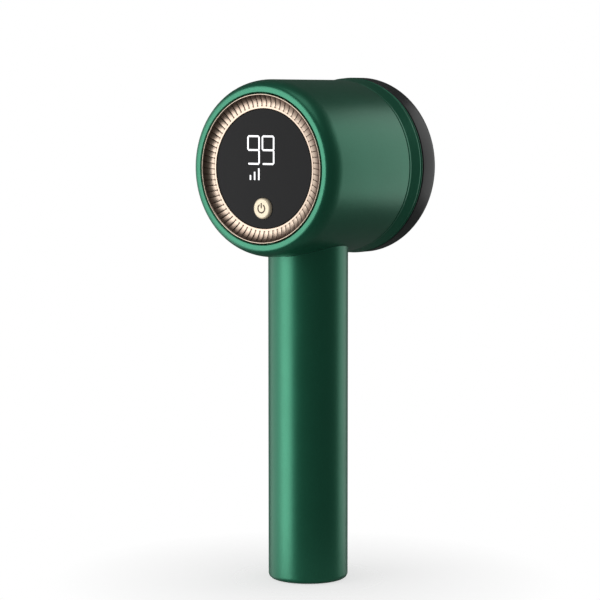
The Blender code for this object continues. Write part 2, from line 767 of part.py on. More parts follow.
# ---------------------------------------------------------------- screws
SCREW_SHANK = 1.2 * MM
SCREW_HEAD = (2.3 * MM, 1.4 * MM)
BOARD_SCREW_SHANK = 0.9 * MM
BOARD_SCREW_HEAD = (1.8 * MM, 1.2 * MM)
BOARD_SCREW_LENGTH = 4.2 * MM
BULKHEAD_SCREW_LENGTH = 9.5 * MM
MOTOR_SCREW_LENGTH = 4.6 * MM
NECK_SCREW_SHANK = 1.2 * MM
NECK_SCREW_HEAD = (2.1 * MM, 1.5 * MM)
CHARGE_SCREW_LENGTH = 6.0 * MM


def screws():
    seat = BOARD_BACK_Y + SEAT_GAP
    for i, place in enumerate(around(3, BOARD_SCREW_CIRCLE)):
        screw(f"display_screw_{i + 1}", BOARD_SCREW_HEAD, BOARD_SCREW_SHANK, seat, BOARD_SCREW_LENGTH, centre=place)
    seat = BULKHEAD_TOP_Y + SEAT_GAP
    for i, place in enumerate(around(3, BULKHEAD_SCREW_CIRCLE)):
        screw(f"bulkhead_screw_{i + 1}", SCREW_HEAD, SCREW_SHANK, seat, BULKHEAD_SCREW_LENGTH, centre=place)
    for i, side in enumerate((-1, 1)):
        place = (side * MOTOR_SCREW_OFFSET, AXIS_Z)
        screw(f"motor_screw_{i + 1}", BOARD_SCREW_HEAD, SCREW_SHANK, seat, MOTOR_SCREW_LENGTH, centre=place)
    seat = spot_face_z() + SEAT_GAP
    for i, side in enumerate((-1, 1)):
        place = (side * NECK_SCREW_OFFSET, 0)
        screw(
            f"neck_screw_{i + 1}", NECK_SCREW_HEAD, NECK_SCREW_SHANK, seat, NECK_SCREW_LENGTH, along="Z", centre=place
        )
    seat = CHARGE_BOARD_Y + BOARD_THICK + SEAT_GAP
    for i, z in enumerate(charge_screw_heights()):
        screw(f"charge_screw_{i + 1}", BOARD_SCREW_HEAD, BOARD_SCREW_SHANK, seat, CHARGE_SCREW_LENGTH, centre=(0, z))


def charge_screw_heights():
    return (CRADLE_BLOCK_FOOT + CRADLE_BLOCK / 2, CRADLE_BLOCK_HEAD + CRADLE_BLOCK / 2)


# ---------------------------------------------------------------- rear of the head
def rear_collar():
    """The flared green collar: a spigot in the barrel, the flare, and the threaded nose."""
    outline = [(NOSE_RADIUS, NOSE_Y), (NOSE_RADIUS, COLLAR_END_Y), (COLLAR_RADIUS - 0.3 * MM, COLLAR_END_Y)]
    for i in range(ARC_STEPS + 1):
        t = 1 - i / ARC_STEPS
        blend = t * t * (3 - 2 * t)
        outline.append(
            (BARREL_RADIUS + (COLLAR_RADIUS - BARREL_RADIUS) * blend, COLLAR_Y + FLARE_START + FLARE_LENGTH * t)
        )
    outline.extend(
        [
            (BARREL_RADIUS, COLLAR_Y),
            (SPIGOT_RADIUS, COLLAR_Y),
            (SPIGOT_RADIUS, SPIGOT_Y),
            (CHAMBER_RADIUS, SPIGOT_Y),
            (CHAMBER_RADIUS, NOSE_Y),
        ]
    )
    collar = turned("rear_collar", outline, GREEN, centre=(0, AXIS_Z))
    middle = COLLAR_END_Y + 1.3 * MM
    for start in range(THREAD_STARTS):
        rib = thread_rib(
            f"male_thread_{start}",
            NOSE_RADIUS - THREAD_BITE,
            NOSE_RADIUS + THREAD_HEIGHT,
            middle,
            math.tau * start / THREAD_STARTS,
            MALE_ARC,
        )
        join(collar, rib)
    for side in (-1, 1):
        half = KEY_WIDTH / 2 + SLIDE_GAP
        slot = block(
            f"key_slot_{side}",
            (-half, NOSE_Y - KEY_DEPTH - SEAT_GAP, -1 * MM),
            (half, NOSE_Y + 1 * MM, NOSE_RADIUS - CHAMBER_RADIUS + 2 * MM),
            None,
        )
        slot.location.z = AXIS_Z + side * (NOSE_RADIUS + CHAMBER_RADIUS) / 2
        cut(collar, slot)
    return collar


def guard_ring():
    """The black screw ring: threaded inside, rounded outside, with a lip that guards the foil."""
    bore_end = FRAME_FLANGE_Y + SEAT_GAP
    throat = FRAME_RADIUS + SEAT_GAP
    foil_seat = FOIL_FACE_Y + SEAT_GAP
    straight_end = RING_Y + RING_STRAIGHT
    nose = []
    for i in range(ARC_STEPS + 2):
        angle = math.radians(90 - 90 * i / (ARC_STEPS + 1))
        nose.append(
            (
                LIP_RADIUS + (COLLAR_RADIUS - LIP_RADIUS) * math.cos(angle),
                straight_end + (REAR_Y - straight_end) * math.sin(angle),
            )
        )
    outline = [
        *nose,
        (COLLAR_RADIUS, RING_Y),
        (RING_BORE, RING_Y),
        (RING_BORE, FRAME_Y + 0.3 * MM),
        (FLANGE_RADIUS + SEAT_GAP, FRAME_Y + 0.3 * MM),
        (FLANGE_RADIUS + SEAT_GAP, bore_end),
        (throat, bore_end),
        (throat, foil_seat),
        (MOUTH_RADIUS, foil_seat),
        *arc((MOUTH_RADIUS + LIP_ROUND, REAR_Y - LIP_ROUND), LIP_ROUND, 180, 90, 3),
    ]
    ring = turned("guard_ring", outline, BLACK, centre=(0, AXIS_Z))
    middle = COLLAR_END_Y + 1.3 * MM - THREAD_LEAD / THREAD_STARTS / 2
    lag_rise = THREAD_LEAD * FEMALE_LAG / math.tau
    for start in range(THREAD_STARTS):
        rib = thread_rib(
            f"female_thread_{start}",
            NOSE_RADIUS + SEAT_GAP,
            RING_BORE + THREAD_BITE,
            middle + lag_rise,
            math.tau * start / THREAD_STARTS + FEMALE_LAG,
            FEMALE_ARC,
        )
        join(ring, rib)
    return ring


def foil_frame():
    """The frame that carries the foil. Two keys stop it from turning with the ring."""
    outline = [
        (FRAME_RADIUS, FRAME_TOP_Y),
        (FRAME_RADIUS, FRAME_FLANGE_Y),
        (FLANGE_RADIUS, FRAME_FLANGE_Y),
        (FLANGE_RADIUS, FRAME_Y),
        (FRAME_BORE, FRAME_Y),
        (FRAME_BORE, FRAME_TOP_Y),
    ]
    frame = turned("foil_frame", outline, BLACK, centre=(0, AXIS_Z))
    low, high = CHAMBER_RADIUS + 0.2 * MM, FLANGE_RADIUS - 0.2 * MM
    for side in (-1, 1):
        key = block(
            f"frame_key_{side}",
            (-KEY_WIDTH / 2, FRAME_Y - KEY_DEPTH - SEAT_GAP / 2, low),
            (KEY_WIDTH / 2, FRAME_Y + 1 * MM, high),
            None,
        )
        key.location.z = AXIS_Z + side * (low + high) / 2
        join(frame, key)
    return frame


def shaving_foil():
    """The thin steel screen, with rings of round holes."""
    outlines = [circle(FOIL_RADIUS, ROUND_STEPS)]
    for radius, count in HOLE_CIRCLES:
        for centre in circle(radius, count):
            outlines.append(circle(HOLE_RADIUS, 6, centre))
    return flat_shape("shaving_foil", outlines, FOIL_BACK_Y, FOIL_FACE_Y, STEEL)


# ---------------------------------------------------------------- cutter and motor
def leaf_outline():
    """Six swept leaves on a round root, as one outline."""
    points = []
    pitch = math.tau / BLADE_COUNT
    for leaf in range(BLADE_COUNT):
        base = pitch * leaf
        for share, sweep, reach in (
            (-0.30, 0.0, BLADE_ROOT_RADIUS),
            (-0.16, 0.55, 0.6 * BLADE_RADIUS),
            (-0.09, 1.0, BLADE_RADIUS),
            (0.05, 1.0, BLADE_RADIUS),
            (0.08, 0.50, 0.6 * BLADE_RADIUS),
            (0.30, 0.0, BLADE_ROOT_RADIUS),
        ):
            angle = base + share * pitch + sweep * BLADE_SWEEP
            points.append((reach * math.cos(angle), reach * math.sin(angle)))
    return points


def cutter_blade():
    """The flat steel cutter, seated on the hub's three pegs."""
    outlines = [leaf_outline(), circle(HUB_RADIUS, FINE_STEPS)]
    for centre in circle(PEG_CIRCLE, 3):
        outlines.append(circle(PEG_RADIUS + SEAT_GAP, 8, centre))
    return flat_shape("cutter_blade", outlines, BLADE_Y, BLADE_TOP_Y, STEEL)


def blade_hub():
    """The hub: a sleeve pressed on the shaft, a flange under the blade, and three pegs."""
    bore = SHAFT_RADIUS + SHAFT_GAP
    grip_end = HUB_Y + HUB_GRIP
    outline = [
        (0, HUB_TOP_Y),
        (HUB_FLANGE_RADIUS, HUB_TOP_Y),
        (HUB_FLANGE_RADIUS, HUB_TOP_Y - HUB_FLANGE_THICK),
        (HUB_RADIUS, HUB_TOP_Y - 3 * HUB_FLANGE_THICK),
        (HUB_RADIUS, HUB_Y),
        (bore, HUB_Y),
        (bore, grip_end),
        (0, grip_end),
    ]
    hub = turned("blade_hub", outline, BLACK, centre=(0, AXIS_Z), steps=SMALL_STEPS)
    for i, place in enumerate(peg_places()):
        join(
            hub,
            rod(f"peg_{i}", PEG_RADIUS, HUB_TOP_Y - 0.5 * MM, BLADE_TOP_Y + 0.1 * MM, None, centre=place, steps=8),
        )
    return hub


def peg_places():
    """(x, z) of the pegs: the blade's outline is drawn with its y axis pointing down."""
    return [(x, AXIS_Z - y) for x, y in circle(PEG_CIRCLE, 3)]


def chamber_bulkhead():
    """The wall between the motor and the lint chamber, which the motor hangs on."""
    hole = MOTOR_NOSE_RADIUS + 0.4 * MM
    outline = [
        (SPIGOT_RADIUS, BULKHEAD_TOP_Y),
        (SPIGOT_RADIUS, BULKHEAD_Y),
        (hole, BULKHEAD_Y),
        (hole, BULKHEAD_TOP_Y),
    ]
    wall = turned("chamber_bulkhead", outline, BLACK, centre=(0, AXIS_Z))
    below, above = BULKHEAD_Y - 1 * MM, BULKHEAD_TOP_Y + 1 * MM
    for i, place in enumerate(around(3, BULKHEAD_SCREW_CIRCLE)):
        cut(wall, rod(f"bulkhead_hole_{i}", SCREW_SHANK + SEAT_GAP, below, above, None, centre=place))
    for side in (-1, 1):
        place = (side * MOTOR_SCREW_OFFSET, AXIS_Z)
        cut(wall, rod(f"motor_hole_{side}", SCREW_SHANK + SEAT_GAP, below, above, None, centre=place))
    return wall


def shaft_seal():
    """The felt ring that keeps lint off the motor's front bush."""
    outer, inner = MOTOR_NOSE_RADIUS + 0.1 * MM, SHAFT_RADIUS + 0.2 * MM
    low, high = MOTOR_NOSE_Y + SEAT_GAP, HUB_Y - SEAT_GAP
    outline = [(outer, high), (outer, low), (inner, low), (inner, high)]
    return turned("shaft_seal", outline, FELT, centre=(0, AXIS_Z), steps=SMALL_STEPS)


def motor():
    """The direct-current motor: can, magnets, rotor, bushes, end cap and terminals."""
    bush_radius = MOTOR_NOSE_RADIUS - MOTOR_WALL - SEAT_GAP / 2
    inner_front = MOTOR_FRONT_Y - MOTOR_WALL
    outline = [
        (MOTOR_NOSE_RADIUS, MOTOR_NOSE_Y),
        (MOTOR_NOSE_RADIUS, MOTOR_FRONT_Y),
        (MOTOR_RADIUS, MOTOR_FRONT_Y),
        (MOTOR_RADIUS, MOTOR_BACK_Y),
        (MOTOR_BORE, MOTOR_BACK_Y),
        (MOTOR_BORE, inner_front),
        (MOTOR_NOSE_RADIUS - MOTOR_WALL, inner_front),
        (MOTOR_NOSE_RADIUS - MOTOR_WALL, MOTOR_NOSE_Y),
    ]
    can = turned("motor_can", outline, STEEL, centre=(0, AXIS_Z), steps=SMALL_STEPS * 3 // 2)
    for side in (-1, 1):
        place = (side * MOTOR_SCREW_OFFSET, AXIS_Z)
        cut(
            can,
            rod(
                f"can_hole_{side}",
                SCREW_SHANK + SEAT_GAP,
                inner_front - 1 * MM,
                MOTOR_FRONT_Y + 1 * MM,
                None,
                centre=place,
            ),
        )

    shaft_start = MOTOR_BACK_Y - END_CAP_THICK
    rod("motor_shaft", SHAFT_RADIUS, shaft_start, SHAFT_END_Y, STEEL, centre=(0, AXIS_Z))

    end_cap = [
        (MOTOR_RADIUS, MOTOR_BACK_Y - SEAT_GAP),
        (MOTOR_RADIUS, MOTOR_BACK_Y - END_CAP_THICK),
        (bush_radius + SEAT_GAP, MOTOR_BACK_Y - END_CAP_THICK),
        (bush_radius + SEAT_GAP, MOTOR_BACK_Y - SEAT_GAP),
    ]
    cap = turned("motor_end_cap", end_cap, BLACK, centre=(0, AXIS_Z), steps=SMALL_STEPS)
    for side, name in ((-1, "negative"), (1, "positive")):
        x = side * TERMINAL_OFFSET
        tail = MOTOR_BACK_Y - END_CAP_THICK - TERMINAL_LENGTH
        half_x, half_z = TERMINAL_THICK / 2, TERMINAL_WIDTH / 2
        slot = block(
            f"terminal_slot_{name}",
            (x - half_x - SEAT_GAP, MOTOR_BACK_Y - END_CAP_THICK - 1 * MM, AXIS_Z - half_z - SEAT_GAP),
            (x + half_x + SEAT_GAP, MOTOR_BACK_Y + 1 * MM, AXIS_Z + half_z + SEAT_GAP),
            None,
        )
        cut(cap, slot)
        block(
            f"motor_terminal_{name}",
            (x - half_x, tail, AXIS_Z - half_z),
            (x + half_x, MOTOR_BACK_Y + 1.5 * MM, AXIS_Z + half_z),
            COPPER,
        )

    bush_bore = SHAFT_RADIUS + SHAFT_GAP
    bush_ends = {
        "front": (MOTOR_NOSE_Y - 2.2 * MM, MOTOR_NOSE_Y - SEAT_GAP),
        "rear": (MOTOR_BACK_Y - END_CAP_THICK + SEAT_GAP, MOTOR_BACK_Y + 1 * MM),
    }
    for end, (low, high) in bush_ends.items():
        outline = [(bush_radius, high), (bush_radius, low), (bush_bore, low), (bush_bore, high)]
        turned(f"motor_bush_{end}", outline, BRASS, centre=(0, AXIS_Z), steps=FINE_STEPS)

    armature_front = inner_front - 5.5 * MM
    armature_back = armature_front - ARMATURE_LENGTH
    armature_radius = MOTOR_BORE - SEAT_GAP - MAGNET_THICK - AIR_GAP
    outline = [
        (armature_radius, armature_front),
        (armature_radius, armature_back),
        (bush_bore, armature_back),
        (bush_bore, armature_front),
    ]
    armature = turned("motor_armature", outline, COPPER, centre=(0, AXIS_Z), steps=SMALL_STEPS)
    slot_floor = 0.55 * armature_radius
    for i in range(3):
        slot = block(
            f"winding_slot_{i}",
            (0, armature_back - 1 * MM, -0.7 * MM),
            (armature_radius - slot_floor + 1 * MM, armature_front + 1 * MM, 0.7 * MM),
            None,
        )
        angle = math.radians(90 + 120 * i)
        middle = (armature_radius + slot_floor + 1 * MM) / 2
        turn_about_axis(slot, middle, math.cos(angle), AXIS_Z + math.sin(angle))
        cut(armature, slot)
    high = armature_back - SEAT_GAP
    outline = [
        (COMMUTATOR_RADIUS, high),
        (COMMUTATOR_RADIUS, high - COMMUTATOR_LENGTH),
        (bush_bore, high - COMMUTATOR_LENGTH),
        (bush_bore, high),
    ]
    turned("motor_commutator", outline, COPPER, centre=(0, AXIS_Z), steps=FINE_STEPS)

    magnet_outer = MOTOR_BORE - SEAT_GAP
    for side, name in ((-1, "lower"), (1, "upper")):
        outline = [
            (magnet_outer, armature_front),
            (magnet_outer, armature_back),
            (magnet_outer - MAGNET_THICK, armature_back),
            (magnet_outer - MAGNET_THICK, armature_front),
        ]
        magnet = turned(f"motor_magnet_{name}", outline, FERRITE, centre=(0, AXIS_Z), steps=SMALL_STEPS)
        reach = MOTOR_RADIUS + 1 * MM
        trim = 2.5 * MM
        low_z, high_z = (-reach, trim) if side > 0 else (-trim, reach)
        cutter = block(
            f"magnet_trim_{name}",
            (-reach, armature_back - 1 * MM, AXIS_Z + low_z),
            (reach, armature_front + 1 * MM, AXIS_Z + high_z),
            None,
        )
        cut(magnet, cutter)


# ---------------------------------------------------------------- handle
def handle_tube():
    """The round grip: saddled to the barrel, with two ribbed screw posts and a rounded foot."""
    top = AXIS_Z - BARREL_RADIUS / 2
    outline = [
        (HANDLE_RADIUS, top),
        *arc((HANDLE_RADIUS - FOOT_ROUND, FOOT_ROUND), FOOT_ROUND, 0, -90),
        (FOOT_OPENING, 0),
        (FOOT_OPENING, FOOT_LIP),
        (HANDLE_BORE, FOOT_LIP),
        (HANDLE_BORE, top),
    ]
    tube = turned("handle_tube", outline, GREEN, along="Z")
    post_foot = spot_face_z() - NECK_SCREW_LENGTH - 3 * MM
    reach = HANDLE_BORE + HANDLE_WALL / 2
    for side in (-1, 1):
        x = side * NECK_SCREW_OFFSET
        post = rod(f"neck_post_{side}", NECK_POST_RADIUS, post_foot, top, None, "Z", (x, 0))
        web_low, web_high = sorted((side * (NECK_SCREW_OFFSET - NECK_POST_RADIUS + 0.4 * MM), side * reach))
        web = block(
            f"neck_web_{side}",
            (web_low, -RIB_THICK / 2, CRADLE_TOP + SEAT_GAP),
            (web_high, RIB_THICK / 2, top),
            None,
        )
        join(tube, post, web)
    reach = HANDLE_RADIUS + 5 * MM
    cut(
        tube,
        rod("saddle", BARREL_RADIUS + SEAT_GAP, -reach, reach, None, centre=(0, AXIS_Z), steps=ROUND_STEPS),
    )
    seat = spot_face_z()
    for side in (-1, 1):
        pilot = rod(
            f"neck_pilot_{side}",
            NECK_SCREW_SHANK + SEAT_GAP,
            seat - NECK_SCREW_LENGTH - 1 * MM,
            seat,
            None,
            "Z",
            (side * NECK_SCREW_OFFSET, 0),
        )
        cut(tube, pilot)
    return tube


def handle_end_cap():
    """The inset foot cap, flush with the handle's end, slotted for the charging socket."""
    face = FOOT_OPENING - SEAT_GAP
    flange = face + CAP_FLANGE
    outline = [
        (0, CAP_TOP),
        (flange, CAP_TOP),
        (flange, FOOT_LIP + SEAT_GAP),
        (face, FOOT_LIP + SEAT_GAP),
        (face, 0),
        (0, 0),
    ]
    cap = turned("handle_end_cap", outline, BLACK, along="Z")
    half = (SOCKET_WIDTH / 2 + SEAT_GAP, SOCKET_HEIGHT / 2 + SEAT_GAP)
    slot = block(
        "socket_slot",
        (-half[0], SOCKET_Y - half[1], -1 * MM),
        (half[0], SOCKET_Y + half[1], CAP_TOP + 1 * MM),
        None,
        edge=SEAT_GAP,
    )
    return cut(cap, slot)


def charging_socket():
    """The socket's folded steel shell and the contact tongue inside it."""
    half_w, half_h = SOCKET_WIDTH / 2, SOCKET_HEIGHT / 2
    top = SOCKET_FOOT + SOCKET_DEPTH
    shell = block(
        "charging_socket",
        (-half_w, SOCKET_Y - half_h, SOCKET_FOOT),
        (half_w, SOCKET_Y + half_h, top),
        STEEL,
    )
    mouth = block(
        "socket_mouth",
        (-half_w + SOCKET_WALL, SOCKET_Y - half_h + SOCKET_WALL, SOCKET_FOOT - 1 * MM),
        (half_w - SOCKET_WALL, SOCKET_Y + half_h - SOCKET_WALL, top - 1 * MM),
        None,
    )
    cut(shell, mouth)
    block(
        "socket_tongue",
        (-3.3 * MM, SOCKET_Y - 0.35 * MM, SOCKET_FOOT + 1.2 * MM),
        (3.3 * MM, SOCKET_Y + 0.35 * MM, top - 1 * MM - SEAT_GAP),
        BLACK,
    )


def battery():
    """The cell, its cradle and its two welded tabs."""
    rod("battery_cell", CELL_RADIUS, CELL_FOOT, CELL_TOP, CELL_WRAP, "Z", (0, CELL_Y), SMALL_STEPS)

    inner = CELL_RADIUS + SEAT_GAP
    outer = inner + CRADLE_WALL
    wall_y = CHARGE_BOARD_Y - SEAT_GAP
    outline = [(outer, CRADLE_TOP), (outer, CRADLE_FOOT), (inner, CRADLE_FOOT), (inner, CRADLE_TOP)]
    cradle = turned("battery_cradle", outline, BLACK, along="Z", centre=(0, CELL_Y), steps=SMALL_STEPS)
    reach = outer + 5 * MM
    open_side = block(
        "cradle_opening", (-reach, CELL_Y, CRADLE_FOOT - 1 * MM), (reach, reach, CRADLE_TOP + 1 * MM), None
    )
    cut(cradle, open_side)
    for side in (-1, 1):
        x_low, x_high = sorted((side * inner, side * outer))
        wall = block(
            f"cradle_wall_{side}", (x_low, CELL_Y - 1 * MM, CRADLE_FOOT), (x_high, wall_y, CRADLE_TOP), None
        )
        join(cradle, wall)
    for name, low in (("foot", CRADLE_BLOCK_FOOT), ("head", CRADLE_BLOCK_HEAD)):
        end = block(
            f"cradle_end_{name}",
            (-inner - CRADLE_WALL / 2, CELL_Y - 6 * MM, low),
            (inner + CRADLE_WALL / 2, wall_y - 0.1 * MM, low + CRADLE_BLOCK),
            None,
        )
        join(cradle, end)
    for i, z in enumerate(charge_screw_heights()):
        pilot = rod(
            f"cradle_pilot_{i}",
            BOARD_SCREW_SHANK + SEAT_GAP / 3,
            wall_y - CHARGE_SCREW_LENGTH,
            wall_y + 1 * MM,
            None,
            centre=(0, z),
        )
        cut(cradle, pilot)

    for end, low in (("negative", CELL_FOOT - SEAT_GAP - TAB_THICK), ("positive", CELL_TOP + SEAT_GAP)):
        block(
            f"battery_tab_{end}",
            (-TAB_WIDTH / 2, CELL_Y - TAB_WIDTH / 2, low),
            (TAB_WIDTH / 2, wall_y, low + TAB_THICK),
            STEEL,
        )


def charge_board():
    """The charging board beside the cell, with its inductor."""
    low = CRADLE_FOOT + 0.5 * MM
    back = CHARGE_BOARD_Y + BOARD_THICK
    half = CHARGE_BOARD_WIDTH / 2
    board = block("charge_board", (-half, CHARGE_BOARD_Y, low), (half, back, CRADLE_TOP), LAMINATE)
    for i, z in enumerate(charge_screw_heights()):
        hole = rod(
            f"charge_hole_{i}",
            BOARD_SCREW_SHANK + SEAT_GAP,
            CHARGE_BOARD_Y - 1 * MM,
            back + 1 * MM,
            None,
            centre=(0, z),
        )
        cut(board, hole)
    middle = (low + CRADLE_TOP) / 2
    block(
        "charge_inductor",
        (-3 * MM, back + SEAT_GAP, middle - 3 * MM),
        (3 * MM, back + 3 * MM, middle + 3 * MM),
        FERRITE,
        edge=0.6 * MM,
    )


def wiring():
    """Three wires from the charging board to the display board, and two on to the motor."""
    board_y = BOARD_BACK_Y + SEAT_GAP
    hole_z = AXIS_Z - BARREL_RADIUS
    start_z = CRADLE_TOP + 3 * MM
    wires = (("wire_battery_red", -1, RED), ("wire_battery_black", 0, BLACK), ("wire_charge_white", 1, WHITE))
    for name, lane, finish in wires:
        x = lane * WIRE_SPACING
        points = [
            (x, CHARGE_BOARD_Y + BOARD_THICK / 2, start_z - 3 * MM + SEAT_GAP),
            (x, CHARGE_BOARD_Y + BOARD_THICK / 2, start_z + 5 * MM),
            (x, 2 * MM, start_z + 0.6 * (hole_z - start_z)),
            (x, -1 * MM, hole_z - 4 * MM),
            (x, -2 * MM, hole_z + 6 * MM),
            (x, (board_y - 2 * MM) / 2, hole_z + 12 * MM),
            (x, board_y + 4 * MM, hole_z + 13.5 * MM),
            (x, board_y, hole_z + 13.5 * MM),
        ]
        wire(name, points, finish)
    level = MOTOR_BACK_Y - END_CAP_THICK - TERMINAL_LENGTH / 2
    for side, name, finish in ((1, "wire_motor_red", RED), (-1, "wire_motor_black", BLACK)):
        start_x = TERMINAL_OFFSET + TERMINAL_THICK / 2 + SEAT_GAP
        points = [
            (side * start_x, level, AXIS_Z),
            (side * (start_x + 3 * MM), level, AXIS_Z + 0.3 * MM),
            (side * (start_x + 8 * MM), level - 0.5 * MM, AXIS_Z + 1.2 * MM),
            (side * (start_x + 9.5 * MM), board_y + 1.2 * MM, AXIS_Z + 1.5 * MM),
            (side * (start_x + 9.5 * MM), board_y, AXIS_Z + 1.5 * MM),
        ]
        wire(name, points, finish)


def build():
    head_shell()
    decor_ring()
    display_lens()
    light_guide()
    led_reflector()
    display_board()
    power_button()
    tact_switch()
    switch_plunger()
    rear_collar()
    guard_ring()
    foil_frame()
    shaving_foil()
    cutter_blade()
    blade_hub()
    chamber_bulkhead()
    shaft_seal()
    motor()
    handle_tube()
    handle_end_cap()
    charging_socket()
    battery()
    charge_board()
    wiring()
    screws()


clear_scene()
PARTS = new_collection("fabric_shaver")
CUTTERS = new_collection("cutters")
build()
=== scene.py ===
# %% [markdown]
# # A cordless fabric shaver
#
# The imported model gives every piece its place, size and motion. This lesson builds the looks
# on top of it: finer outer pieces that stand for the plain ones, a finish for each surface, and
# a small studio. All lengths are in metres and MM is one millimetre.

import json
import math

import bmesh
import bpy
from mathutils import Matrix, Vector


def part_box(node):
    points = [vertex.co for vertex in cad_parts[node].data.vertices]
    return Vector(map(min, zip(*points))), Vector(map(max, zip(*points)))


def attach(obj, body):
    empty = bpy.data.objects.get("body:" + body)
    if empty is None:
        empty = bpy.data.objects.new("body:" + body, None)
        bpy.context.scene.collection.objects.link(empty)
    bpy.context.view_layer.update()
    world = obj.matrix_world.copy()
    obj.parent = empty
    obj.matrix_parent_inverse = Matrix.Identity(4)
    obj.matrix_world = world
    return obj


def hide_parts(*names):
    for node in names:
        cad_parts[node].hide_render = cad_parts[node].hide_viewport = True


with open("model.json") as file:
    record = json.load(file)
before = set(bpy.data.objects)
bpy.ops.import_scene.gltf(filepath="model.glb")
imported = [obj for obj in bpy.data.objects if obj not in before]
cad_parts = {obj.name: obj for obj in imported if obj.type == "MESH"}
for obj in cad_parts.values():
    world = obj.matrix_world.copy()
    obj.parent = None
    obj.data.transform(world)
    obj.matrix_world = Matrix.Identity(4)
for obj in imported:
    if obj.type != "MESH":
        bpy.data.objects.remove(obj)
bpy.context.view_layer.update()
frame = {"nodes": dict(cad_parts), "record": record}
MM = 0.001

# %% [markdown]
# ## The places that everything hangs on
#
# The head is turned about one line along Y, and the handle about one line along Z. Reading both
# lines, and each piece's ends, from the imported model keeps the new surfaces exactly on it.

# %% Read the frame
GUARD_LOW, GUARD_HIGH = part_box("guard_ring")
SHELL_LOW, SHELL_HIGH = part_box("head_shell")
COLLAR_LOW, COLLAR_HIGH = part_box("rear_collar")
TUBE_LOW, TUBE_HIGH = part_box("handle_tube")
AXIS_Z = (GUARD_LOW.z + GUARD_HIGH.z) / 2
FRONT_Y = SHELL_LOW.y
SEAM_Y = SHELL_HIGH.y
BARREL = (SHELL_HIGH.x - SHELL_LOW.x) / 2
FLARE = (COLLAR_HIGH.x - COLLAR_LOW.x) / 2
GRIP = (TUBE_HIGH.x - TUBE_LOW.x) / 2
print(f"head axis at {AXIS_Z / MM:.1f} mm, barrel radius {BARREL / MM:.1f} mm")

# %% [markdown]
# ## Shader arithmetic
#
# A finish is easier to read as a formula than as a picture of boxes and lines. `Value` wraps one
# output of a node, and its operators add Math nodes. `Nodes` has the single way to add any other
# node, and `Finish` is one material built with it.


# %% A wrapped socket
class Value:
    """One number that varies over a surface."""

    def __init__(self, finish, socket):
        self.finish = finish
        self.socket = socket

    def math(self, operation, *others, swap=False):
        values = [self, *others]
        if swap:
            values.reverse()
        made = self.finish.node("Math", {"operation": operation}, dict(enumerate(values)))
        return Value(self.finish, made.outputs[0])

    def __add__(self, other):
        return self.math("ADD", other)

    def __sub__(self, other):
        return self.math("SUBTRACT", other)

    def __mul__(self, other):
        return self.math("MULTIPLY", other)

    def __rsub__(self, other):
        return self.math("SUBTRACT", other, swap=True)

    __radd__ = __add__
    __rmul__ = __mul__


# %% A node tree, and a material under construction
class Nodes:
    """A node tree with one way to add any node to it."""

    def __init__(self, tree):
        self.tree = tree

    def node(self, kind, settings=None, inputs=None):
        """Adds a node, sets it up, then gives its sockets values or links."""
        made = self.tree.nodes.new("ShaderNode" + kind)
        for key, value in (settings or {}).items():
            if key == "stops":
                self.fill_ramp(made.color_ramp, value)
            else:
                setattr(made, key, value)
        for key, value in (inputs or {}).items():
            self.feed(made.inputs[key], value)
        return made

    def feed(self, socket, value):
        """A wrapped value or a socket is linked; anything else is written on the socket."""
        source = value.socket if isinstance(value, Value) else value
        if isinstance(source, bpy.types.NodeSocket):
            self.tree.links.new(source, socket)
        else:
            socket.default_value = source

    def fill_ramp(self, ramp, stops):
        while len(ramp.elements) > 1:
            ramp.elements.remove(ramp.elements[-1])
        ramp.elements[0].position = stops[0][0]
        ramp.elements[0].color = stops[0][1]
        for position, colour in stops[1:]:
            ramp.elements.new(position).color = colour


class Finish(Nodes):
    """One material: its nodes, and the few fields that most finishes share."""

    def __init__(self, name):
        self.material = bpy.data.materials.new(name)
        self.material.use_nodes = True
        super().__init__(self.material.node_tree)
        self.shader = self.tree.nodes["Principled BSDF"]
        self.place = self.node("TexCoord").outputs["Object"]

    def noise(self, scale, detail=3.0, stretch=None):
        """Cloudy noise from 0 to 1; stretch squeezes it along the axes."""
        place = self.place
        if stretch:
            place = self.node("Mapping", None, {"Vector": place, "Scale": stretch}).outputs[0]
        made = self.node("TexNoise", None, {"Vector": place, "Scale": scale, "Detail": detail})
        return Value(self, made.outputs["Fac"])

    def cells(self, scale):
        """A different flat value in every small cell, from 0 to 1."""
        made = self.node("TexVoronoi", None, {"Vector": self.place, "Scale": scale})
        split = self.node("SeparateColor", None, {0: made.outputs["Color"]})
        return Value(self, split.outputs[0])

    def masked(self, value, low, high):
        """0 below low and 1 above high, smooth between."""
        stops = ((low, (0, 0, 0, 1)), (high, (1, 1, 1, 1)))
        made = self.node("ValToRGB", {"stops": stops}, {0: value})
        return Value(self, made.outputs[0])

    def blend(self, factor, first, second):
        """first where factor is 0 and second where it is 1; colours are (r, g, b) or sockets."""
        made = self.node("Mix", {"data_type": "RGBA"}, {0: factor})
        for index, colour in ((6, first), (7, second)):
            self.feed(made.inputs[index], (*colour, 1) if isinstance(colour, tuple) else colour)
        return made.outputs[2]

    def relief(self, height, distance, strength=1.0, under=None):
        """A bump; under is another bump's normal that this one sits on."""
        inputs = {"Height": height, "Distance": distance, "Strength": strength}
        if under is not None:
            inputs["Normal"] = under
        return self.node("Bump", None, inputs).outputs[0]

    def set(self, **values):
        for name, value in values.items():
            self.feed(self.shader.inputs[name.replace("_", " ")], value)
        return self


print("shader helpers ready")


# %% [markdown]
# ## Finishes
#
# Real surfaces are never one flat value. Each finish below starts with the colour that the
# surface has, drifts it a little, breaks its gloss with handling marks, and roughens it with a
# relief finer than the eye resolves.


